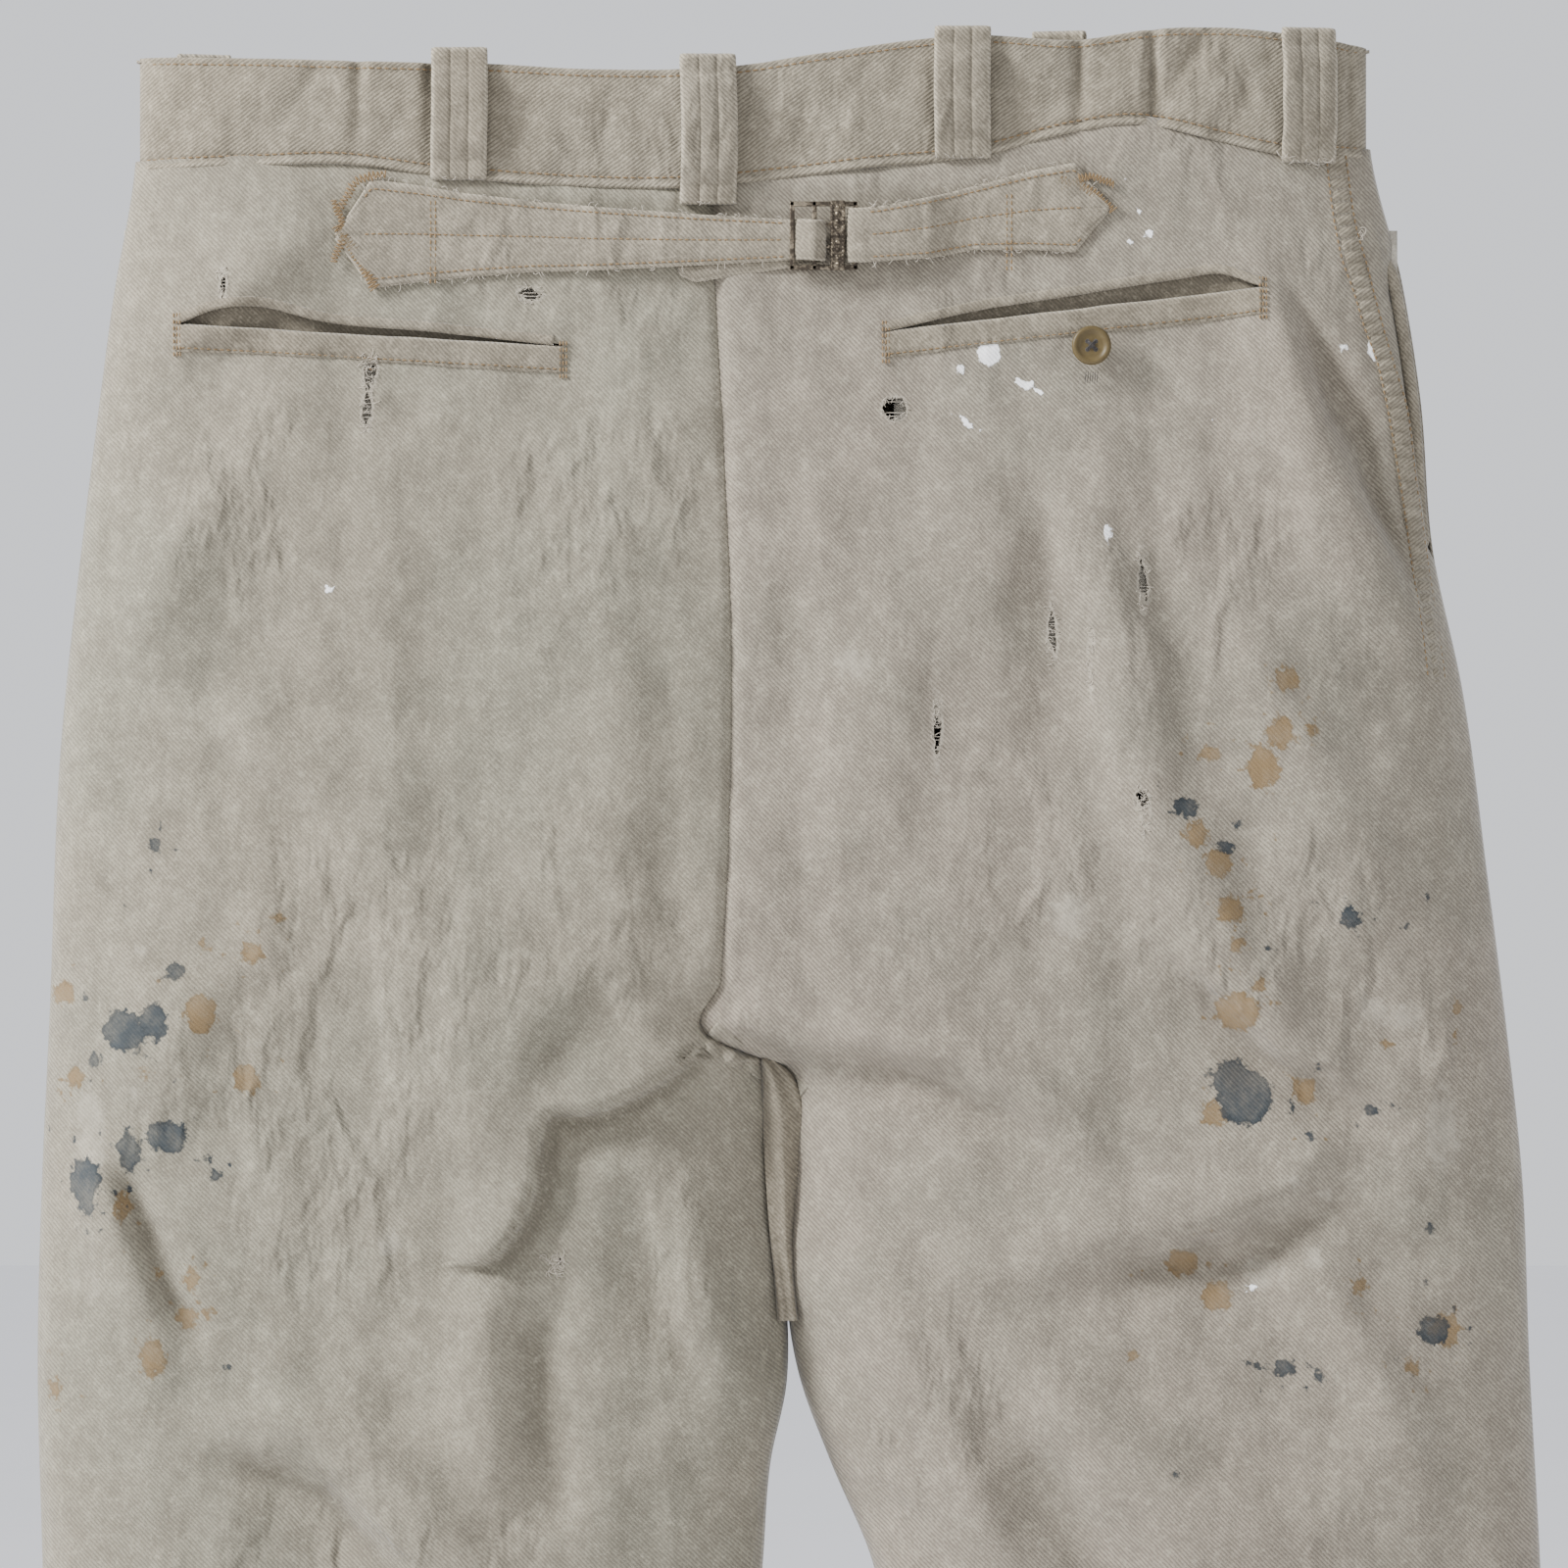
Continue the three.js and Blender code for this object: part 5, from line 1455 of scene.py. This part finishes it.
def button(name, centre, radius, wall, way, body, node):
    """A dished four-hole button; way is the Y direction that its face looks."""
    share = [(0.30, 0.0), (0.82, 0.0), (0.96, 0.18), (1.0, 0.42), (0.985, 0.72), (0.93, 0.93), (0.86, 1.0),
             (0.78, 0.96),
             (0.71, 0.78), (0.64, 0.62), (0.54, 0.56), (0.30, 0.55), (0.02, 0.55)]
    verts, faces = lathe([(r * radius, way * h * wall) for r, h in [(0.02, 0.0)] + share])
    moved = [(x + centre[0], y + centre[1], z + centre[2]) for x, y, z in verts]
    link(name + "_disc", moved, faces, olive, body=body, node=node)
    spacing, face_y = radius * 0.21, centre[1] + way * (0.55 * wall + 0.06)
    wells, cross = [], []
    for right in (-1, 1):
        for up in (-1, 1):
            spot = (centre[0] + right * spacing, face_y - way * 0.02, centre[2] + up * spacing)
            wells.append(dome(spot, radius * 0.115, 0.05, way, 2, 12))
    well_verts, well_faces = joined(wells)
    link(name + "_holes", well_verts, well_faces, dark_thread, body=body)
    for pair in range(2):
        for strand in range(3):
            shift = (strand - 1) * radius * 0.04
            bend = [(-1.05, -0.3), (-0.6, 0.4), (0.0, 0.62), (0.6, 0.4), (1.05, -0.3)]
            up = 1 if pair else -1
            cross.append(np.array([(centre[0] + k * spacing - up * shift,
                                    face_y + way * (lift * 0.8 + 0.1 * strand),
                                    centre[2] + up * k * spacing + shift) for k, lift in bend]))
    tubes(name + "_crossed_thread", cross, radius * 0.035, dark_thread, body=body)


POCKET_BUTTON = (129.0, -25.6, -112.0)
button("back_pocket_button", POCKET_BUTTON, 7.5, 2.4, -1, "pocket_button", ("back_pocket_button",))
FLY_BUTTON_X, FLY_BUTTON_TOP, FLY_BUTTON_PITCH = -4.5, 72.0, 38.0
button("waist_button", (FLY_BUTTON_X, 10.6, -20.0), 8.5, 2.1, 1, "waist_button", ("waist_button",))
for k in range(4):
    z = -FLY_BUTTON_TOP - FLY_BUTTON_PITCH * k
    y = float(depth_at(np.array(z))) - 8.0 + 1.3
    button(f"fly_button_{k + 1}", (FLY_BUTTON_X, y, z), 7.0, 2.4, 1, f"fly_button_{k + 1}",
           (f"fly_button_{k + 1}",))


def thread_shank():
    """The twisted thread that the pocket button hangs on."""
    paths = []
    for k in range(6):
        turn = 2 * math.pi * k / 6
        s = np.linspace(0, 1, 9)
        spin = turn + s * 2.4
        paths.append(np.column_stack([129 + 0.85 * np.cos(spin), -25.5 + 3.0 * s,
                                      -112 + 0.85 * np.sin(spin)]))
    tubes("back_pocket_button_shank", paths, 0.42, dark_thread, body="pocket_button")
    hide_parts("back_pocket_button_thread")


thread_shank()
tubes("pocket_button_tack", [np.array([(129 - 2.4 + 0.9 * k, -24.3, -126.4 + 0.4 * (k % 2)),
                                       (129 - 2.2 + 0.9 * k, -25.0, -124.0),
                                       (129 - 2.0 + 0.9 * k, -24.4, -121.6)])
                             for k in range(6)], 0.22, dark_thread)


# ---------------------------------------------------------------- fly
def fly_sheet(name, x0, x1, high, low, off, material, node, body):
    """One flat layer of the fly."""
    x = np.linspace(x0, x1, 42)
    z = np.linspace(high, low, 110)[:, None] + 0 * x
    y = depth_at(z) - off + 0.35 * waves(x + 0 * z, z, 46, 15)
    if name == "fly_flap":
        y = depth_at(z) + fold_at(FRONT, x + 0 * z, z) + 0.35 * ease(0, 6, x - x0)
    marks = flat_marks(z.size)
    marks["rise"] = 1.1 * np.exp(-((x - x1) / 1.6) ** 2) + 0 * z
    piece = link(name + "_cloth", np.stack([x + 0 * z, y, z], -1).reshape(-1, 3), grid_faces(*z.shape),
                 material,
                 body=body, node=node, attributes=marks)
    thicken(piece, 1.0, offset=-1.0)
    return piece


fly_sheet("fly_flap", FLY_HINGE + 0.5, FLY_EDGE, -44.0, -FLY_DROP + 0.3, 0.0, twill_left, ("fly_flap",),
          "fly")
fly_sheet("fly_shield", -22, 30.5, -5, -215, 8.2, twill_band, ("fly_shield",), "garment")
fly_sheet("fly_buttonhole_strip", -22, 13, -52, -204, 2.6, pocketing, ("fly_buttonhole_strip",), "fly")
curve = smooth_points([(-20.5, -47), (-20.5, -150), (-18.5, -178), (-8, -199), (4, -207), (12, -208)])
edge_row = np.column_stack([np.full(150, FLY_EDGE - 2.4), np.linspace(-47, -206, 150)])
stitches("fly_topstitching", [np.column_stack([row[:, 0], depth_at(row[:, 1]) + 0.45
                                               + fold_at(FRONT, *row.T), row[:, 1]])
                              for row in (curve, edge_row)], body="fly")
for k in range(4):
    z = -72.0 - 38 * k
    y = float(depth_at(np.array(z))) - 3.0
    rim = [np.array([(-4.5 + 8.5 * math.cos(a), y, z + 1.3 * math.sin(a))
                     for a in np.linspace(0, 2 * math.pi, 40)])]
    tubes(f"fly_buttonhole_{k + 1}", rim, 0.55, pale_thread, body="fly")


def waistband_tab():
    """The end of the waistband that swings with the fly."""
    x = np.linspace(FLY_HINGE + 0.7, FLY_EDGE, 40)
    v = np.linspace(0, 1, 20)[:, None]
    z = band_top(x) - 0.4 + (band_foot(x) - band_top(x) - 0.4) * v
    y = 17.5 + band_waves(x, z) * 0.6 - 0.45 * np.exp(-((v - 0.93) / 0.03) ** 2)
    y = y - 0.9 * np.exp(-((x - FLY_EDGE) / 0.8) ** 2) - 0.7 * np.exp(-((x - FLY_HINGE) / 2.5) ** 2)
    marks = flat_marks(z.size)
    marks["rise"] = 1.2 * np.exp(-((x - 15.4) / 1.5) ** 2) + 1.0 * np.exp(-(v / 0.04) ** 2)
    piece = link("waistband_tab_cloth", np.stack([x + 0 * v, y, z], -1).reshape(-1, 3),
                 grid_faces(*z.shape),
                 twill_band, body="fly", node=("waistband_tab",), attributes=marks)
    thicken(piece, 2.2)
    along_x = np.arange(-23, 13.5, 0.9)
    rows = [np.column_stack([along_x, 17.65 + band_waves(along_x, band_top(along_x) - 3) * 0.6,
                             band_top(along_x) - 3.1]),
            np.column_stack([along_x, 17.65 + band_waves(along_x, band_foot(along_x) + 3) * 0.6,
                             band_foot(along_x) + 3.3])]
    level = np.arange(-43.0, -4.0, 0.9)
    rows.append(np.column_stack([12.8 + 0 * level, 17.6 + band_waves(12.8, level) * 0.6, level]))
    stitches("waistband_tab_topstitching", rows, body="fly")
    hole = [np.array([(-4.5 + 9.5 * math.cos(a), 17.9, -20 + 1.5 * math.sin(a))
                      for a in np.linspace(0, 2 * math.pi, 40)])]
    tubes("waistband_buttonhole", hole, 0.6, pale_thread, body="fly")


waistband_tab()


# ---------------------------------------------------------------- hems
def hem(side):
    """The turned-up hem of one leg."""
    word = "left" if side == LEFT else "right"
    turns = np.linspace(0, 2 * math.pi, 161)[:-1]
    z_rows = np.array([-LENGTH + 0.3, -LENGTH + 12, -LENGTH + 24, -LENGTH + 36])
    rows = []
    for z in z_rows:
        a, b = float(outer_x(side, np.array(z))), float(inner_x(side, BACK, np.array(z)))
        middle, half = (a + b) / 2, abs(a - b) / 2 - 1.6
        cx, sy = np.cos(turns), np.sin(turns)
        x = middle + half * np.sign(cx) * np.abs(cx) ** 0.55
        depth = base_depth(side, BACK, x, np.full(x.shape, z))
        layer = np.where(sy < 0, BACK, FRONT)
        lifted = np.where(sy < 0, fold_at(BACK, x, np.full(x.shape, z)),
                          fold_at(FRONT, x, np.full(x.shape, z)))
        y = layer * np.maximum(depth + lifted * np.clip(depth / 12, 0, 1) - 2.2, 0.1)
        rows.append(np.column_stack([x, y, np.full(x.shape, z)]))
    points = np.array(rows)
    faces = grid_faces(4, 160, ring=True).reshape(-1, 4)
    piece = link(f"hem_{word}_cloth", points.reshape(-1, 3), faces, twill_loop, node=(f"hem_{word}",),
                 attributes=flat_marks(points.shape[0] * points.shape[1]))
    thicken(piece, 0.7, offset=0.0)
    lines = []
    for layer in (BACK, FRONT):
        a, b = float(outer_x(side, np.array(-LENGTH))), float(inner_x(side, BACK, np.array(-LENGTH)))
        across = np.arange(min(a, b) + 4, max(a, b) - 4, 1.0)
        lines.append(on_cloth(across, np.full(across.shape, -LENGTH + 35.0), 0.2, layer))
    stitches(f"hem_{word}_stitching", lines)


hem(LEFT)
hem(RIGHT)

# ---------------------------------------------------------------- seams, fork and side mouth
seam_mid = [(float(centre_seam(BACK, np.array(float(z)))), float(z)) for z in range(-58, -372, -12)]
strip("centre_back_seam", [(x - 2.4, z) for x, z in seam_mid], 2.0,
      lambda u, s: 0.45 * (1 - u ** 4) + 0.16 * np.sin(s * 2 * math.pi / 4.2), twill_left, across=9,
      spotted=True)
stitches("centre_back_stitching",
         [on_cloth(*np.array(smooth_points([(x - 4.3, z) for x, z in seam_mid])).T, 0.35)])

SEAM_IN = [(219.5, -38), (223.2, -67), (225.8, -79), (229.5, -89), (234, -104), (238.8, -117),
           (241.8, -130),
           (248, -165), (252.6, -197), (258, -240)]
SEAM_OUT = [(227.2, -38), (232, -69), (235.0, -79), (238.6, -93), (242.6, -108), (246.4, -121),
            (249.4, -130),
            (254.6, -165), (259.3, -197), (265, -240)]
seam_line = [((a + c) / 2, (b + d) / 2) for (a, b), (c, d) in zip(SEAM_IN, SEAM_OUT)]
strip("side_seam_right", seam_line, lambda s: 4.0 - 2.6 * ease(0.7, 1.0, s),
      lambda u, s: (0.9 * (1 - u ** 6) + 0.55 * np.sin(s * 2 * math.pi / 4.8) * (1 - u ** 2)
                    - 0.5 * np.exp(-((np.abs(u) - 0.86) / 0.08) ** 2)), twill_band, across=17, step=0.7)
stitches("side_seam_right_stitching", [on_cloth(*smooth_points(SEAM_IN).T, 1.15),
                                       on_cloth(*smooth_points(SEAM_OUT).T, 1.15)],
         length=1.9, gap=0.9)
left_side_line = [(float(left_edge(np.array(float(z)))) + 9.0 - 5.0 * ease(60, 200, -z), float(z))
                  for z in range(-50, -380, -22)]
strip("side_seam_left", left_side_line, 2.2,
      lambda u, s: 0.5 * (1 - u ** 4) + 0.22 * np.sin(s * 2 * math.pi / 4.8), twill_left, across=9,
      spotted=True)


def mouth_lip():
    """The side pocket's outer lip: a thick selvage at the silhouette, and the facing behind the gap."""
    z = np.arange(-70, -196, -1.2)
    edge = right_edge(z)
    open_share = ease(68, 84, -z) * (1 - ease(184, 196, -z))
    u = np.linspace(-1, 1, 11)
    bow = np.sqrt(np.clip(1 - u ** 2, 0, 1))
    x = ((edge - 0.6 - 5.0 * (1 - open_share))[:, None] - 4.2 * (1 - u) / 2
         * (0.4 + 0.6 * open_share)[:, None])
    y = (-2.4 * open_share[:, None] - 1.5 * bow * open_share[:, None] - 0.3 * np.sin(z / 1.5)[:, None] * bow
         + 0 * x)
    points = np.stack([x, y, z[:, None] + 0 * x], -1)
    marks = flat_marks(x.size)
    marks["rise"] = 1.0 * bow + 0 * x
    piece = link("side_pocket_lip_right", points.reshape(-1, 3), grid_faces(*x.shape)[:, ::-1], twill_loop,
                 attributes=marks)
    thicken(piece, 1.2, offset=0.0)
    x = (edge - 4.0)[:, None] - 13.0 * np.linspace(0, 1, 9)
    y = np.broadcast_to(2.8 - 5.8 * np.linspace(0, 1, 9), x.shape)
    piece = link("side_pocket_facing_right", np.stack([x, y, z[:, None] + 0 * x], -1).reshape(-1, 3),
                 grid_faces(*x.shape), twill_band, attributes=flat_marks(x.size))
    thicken(piece, 0.7, offset=0.0)


mouth_lip()


def fork():
    """Where the legs part: the rolled edge of the left panel, the right leg's edge and the left inseam."""
    roll = lambda u, s: 0.9 * np.sqrt(np.clip(1 - u ** 2, 0, 1)) - 0.2 + 0.12 * np.sin(s / 1.7)
    strip("fork_roll_left", SWAG[:5], 1.5, roll, twill_left, across=11, spotted=True)
    strip("fork_pleat_left", SWAG[4:], 1.5, roll, twill_left, across=11, spotted=True)
    strip("fork_roll_right", RIGHT_LEG_LIP, 1.5, roll, twill_right, across=11, spotted=True)
    inseam = [(-56, -405), (-46, -426), (-40, -444), (-36, -470), (-31, -502), (-26, -526), (-8, -580)]
    strip("inseam_left", inseam, 1.6, lambda u, s: 0.5 * (1 - u ** 2) + 0.2 * np.sin(s * 1.4), twill_left,
          across=7,
          spotted=True)


fork()


def gusset():
    """The ruffled piece let in under the fork, and the turned face of the right leg's inner edge."""
    strip("fork_gusset", [(-17, -374), (-8, -381), (2, -386), (11, -392), (19, -398)],
          lambda s: 5.6 - 1.2 * s,
          lambda u, s: 0.9 + 1.3 * np.sin(s * 2 * math.pi / 10 + 1.5 * u) * (0.6 - 0.4 * u)
          + 0.8 * (1 - u ** 2),
          twill_left, across=15, step=0.8, spotted=True)
    rows = np.arange(-384, -486, -1.5)
    u = np.linspace(0, 1, 14)
    a, b = left_inner(rows) - 3.0, right_inner(rows) + 2.5
    x = a[:, None] + (b - a)[:, None] * u
    y = -11.0 - 4.0 * np.sin(math.pi * u) + 1.4 * np.sin(u * 9 + rows[:, None] / 17) + 0 * x
    piece = link("right_leg_inner_face", np.stack([x, y, rows[:, None] + 0 * x], -1).reshape(-1, 3),
                 grid_faces(*x.shape)[:, ::-1], twill_loop, attributes=flat_marks(x.size))
    thicken(piece, 0.8, offset=0.0)


gusset()


# ---------------------------------------------------------------- wear: paint, ladders, loose yarn
def paint_blobs():
    """Raised drops of dried paint."""
    parts = []
    for x, z, rx, rz in SPOTS["white"]:
        around, rings = 26, 5
        ragged = 1 + 0.22 * np.array([math.sin(3 * a + x) * 0.5 + math.sin(7 * a + z) * 0.35
                                      + rng.uniform(-0.25, 0.25)
                                      for a in np.linspace(0, 2 * math.pi, around, endpoint=False)])
        verts, faces = [], []
        height = min(0.65, 0.22 * min(rx, rz) + 0.2)
        place = band_point if z > band_foot(x) else cloth_point
        verts.append(place(x, z, height + 0.25))
        for r in range(1, rings + 1):
            share = r / rings
            for k in range(around):
                a = 2 * math.pi * k / around
                px = x + rx * ragged[k] * share * math.cos(a)
                pz = z + rz * ragged[k] * share * math.sin(a)
                lift = (height * math.sqrt(max(0, 1 - share ** 3))
                        * (1 + 0.2 * math.sin(px * 3) * math.sin(pz * 3)) + 0.1)
                verts.append(place(px, pz, lift))
        for k in range(around):
            n = (k + 1) % around
            faces.append((0, 1 + n, 1 + k))
            for r in range(rings - 1):
                a, b = 1 + r * around, 1 + (r + 1) * around
                faces.append((a + k, a + n, b + n, b + k))
        parts.append((verts, faces))
    verts, faces = joined(parts)
    material, w, bsdf, place = shader("white paint flakes", 0.6)
    tone = w.noise(place, 700.0, 3.0)
    w.put(bsdf.inputs["Base Color"], w.mix(tone, (0.74, 0.74, 0.72, 1), (0.88, 0.88, 0.87, 1)))
    w.put(bsdf.inputs["Roughness"], w.math("MULTIPLY_ADD", tone, 0.3, 0.4))
    link("paint_flakes", verts, faces, material)


def cloth_point(x, z, lift):
    return (x, float(surface(BACK, np.array(x), np.array(z))) - lift, z)


def band_point(x, z, lift):
    return tuple(band_face(np.array(x), np.array(z), BACK, lift))


def ladders():
    """Bare cross yarns left in each tear, and fluff round its edge."""
    bars, fluff = [], []
    for x, z, rx, rz in SPOTS["hole"]:
        count = max(3, int(rz * 2 / 1.3))
        for level in np.linspace(-0.85, 0.85, count) * rz:
            reach = rx * math.sqrt(max(0.05, 1 - (level / rz) ** 2)) + 1.4
            sag = rng.uniform(-0.4, 0.4)
            if rng.random() < 0.62:
                bars.append(np.array([cloth_point(x - reach, z + level, 0.2),
                                      cloth_point(x, z + level + sag, 0.15),
                                      cloth_point(x + reach, z + level + sag / 2, 0.2)]))
        for _ in range(int(8 + 2.2 * (rx + rz))):
            a = rng.uniform(0, 2 * math.pi)
            root = (x + rx * 0.95 * math.cos(a), z + rz * 0.95 * math.sin(a))
            away = rng.choice((-1, 1))
            fluff.append(fray(root, (away * math.cos(a), away * math.sin(a)), rng.uniform(1.2, 3.6),
                              rng.uniform(-4, 4), cloth_point(*root, 0.5)[1]))
    for root, count, spread in (((-74, -461), 26, 5.5), ((214, -39), 20, 6.0), ((233, -68), 8, 3.0),
                                ((-146, -118), 16, 4.0)):
        for _ in range(count):
            spot = (root[0] + rng.normal(0, spread / 3), root[1] + rng.normal(0, spread / 3))
            fluff.append(fray(spot, (rng.uniform(-1, 1), rng.uniform(-1, 1)), rng.uniform(2.5, 7),
                              rng.uniform(-6, 6),
                              cloth_point(*spot, 0.9)[1]))
    tubes("ladder_yarns", bars, 0.2, pale_thread, sides=4)
    tubes("tear_fluff", fluff, 0.12, pale_thread, sides=4)


def darning():
    """The mends sewn over worn places."""
    lines = [zigzag([(-158, -60), (-150, -48), (-140, -46)], 4.0, 1.6, on_cloth),
             zigzag([(-159, -66), (-152, -76), (-144, -90)], 4.5, 1.5, on_cloth),
             zigzag([(-160, -56), (-156, -68), (-160, -80)], 3.5, 1.4, on_cloth),
             zigzag([(117, -48), (128, -52), (138, -60)], 4.0, 1.5, on_cloth),
             zigzag([(118, -53), (128, -47), (138, -50)], 3.4, 1.3, on_cloth)]
    tubes("darning_stitches", [path - np.array([0, 2.6, 0]) for path in lines], 0.3, seam_thread,
          sides=4)
    darts = [smooth_points(points) for points in ([(-147, -89), (-148, -100)], [(119, -32), (119, -48)],
                                                  [(121, -83), (123, -89)])]
    stitches("dart_stitching", [on_cloth(p[:, 0], p[:, 1], 0.25)
                                for p in map(lambda q: resample(q, 1.0), darts)])


paint_blobs()
ladders()
darning()

# ---------------------------------------------------------------- camera, light and stage
VIEW_X, VIEW_Z, VIEW_SPAN, VIEW_AWAY = 0.0119, -0.279, 0.5952, 2.4


def stage_scene():
    """The sky, lamps, camera and floor, which are no part of the model."""
    world = bpy.data.worlds.new("soft sky")
    world.use_nodes = True
    world.node_tree.nodes["Background"].inputs["Color"].default_value = (0.93, 0.95, 1.0, 1)
    world.node_tree.nodes["Background"].inputs["Strength"].default_value = 1.05
    bpy.context.scene.world = world
    for name, place, size, power in (("key", (-2.3, -1.0, 1.35), 0.7, 235),
                                     ("fill", (2.0, -2.4, 0.3), 2.0, 16),
                                     ("rear", (0.6, 2.6, 1.2), 2.0, 60)):
        data = bpy.data.lights.new(name, "AREA")
        data.size, data.energy = size, power
        lamp = bpy.data.objects.new(name, data)
        lamp.location = place
        aim = np.array([0, 0, -0.35]) - np.array(place)
        lamp.rotation_euler = Vector(aim).to_track_quat("-Z", "Y").to_euler()
        bpy.context.scene.collection.objects.link(lamp)
    camera_data = bpy.data.cameras.new("camera")
    camera_data.sensor_width = 36.0
    camera_data.lens = 36.0 * VIEW_AWAY / VIEW_SPAN
    camera = bpy.data.objects.new("camera", camera_data)
    camera.location = (VIEW_X, -VIEW_AWAY - SEAT_DEPTH * MM, VIEW_Z)
    camera.rotation_euler = (math.pi / 2, 0, 0)
    bpy.context.scene.collection.objects.link(camera)
    bpy.context.scene.camera = camera
    material, w, bsdf, place = shader("pale floor", 0.8)
    tone = w.noise(place, 3.0, 2.0)
    w.put(bsdf.inputs["Base Color"], w.mix(tone, (0.88, 0.88, 0.90, 1), (0.92, 0.92, 0.94, 1)))
    floor_z, half = -LENGTH * MM - 0.06, 9.0
    mesh = bpy.data.meshes.new("floor")
    mesh.from_pydata([(-half, -half, floor_z), (half, -half, floor_z), (half, half, floor_z),
                      (-half, half, floor_z)],
                     [], [(0, 1, 2, 3)])
    mesh.materials.append(material)
    floor = bpy.data.objects.new("floor", mesh)
    bpy.context.scene.collection.objects.link(floor)


stage_scene()
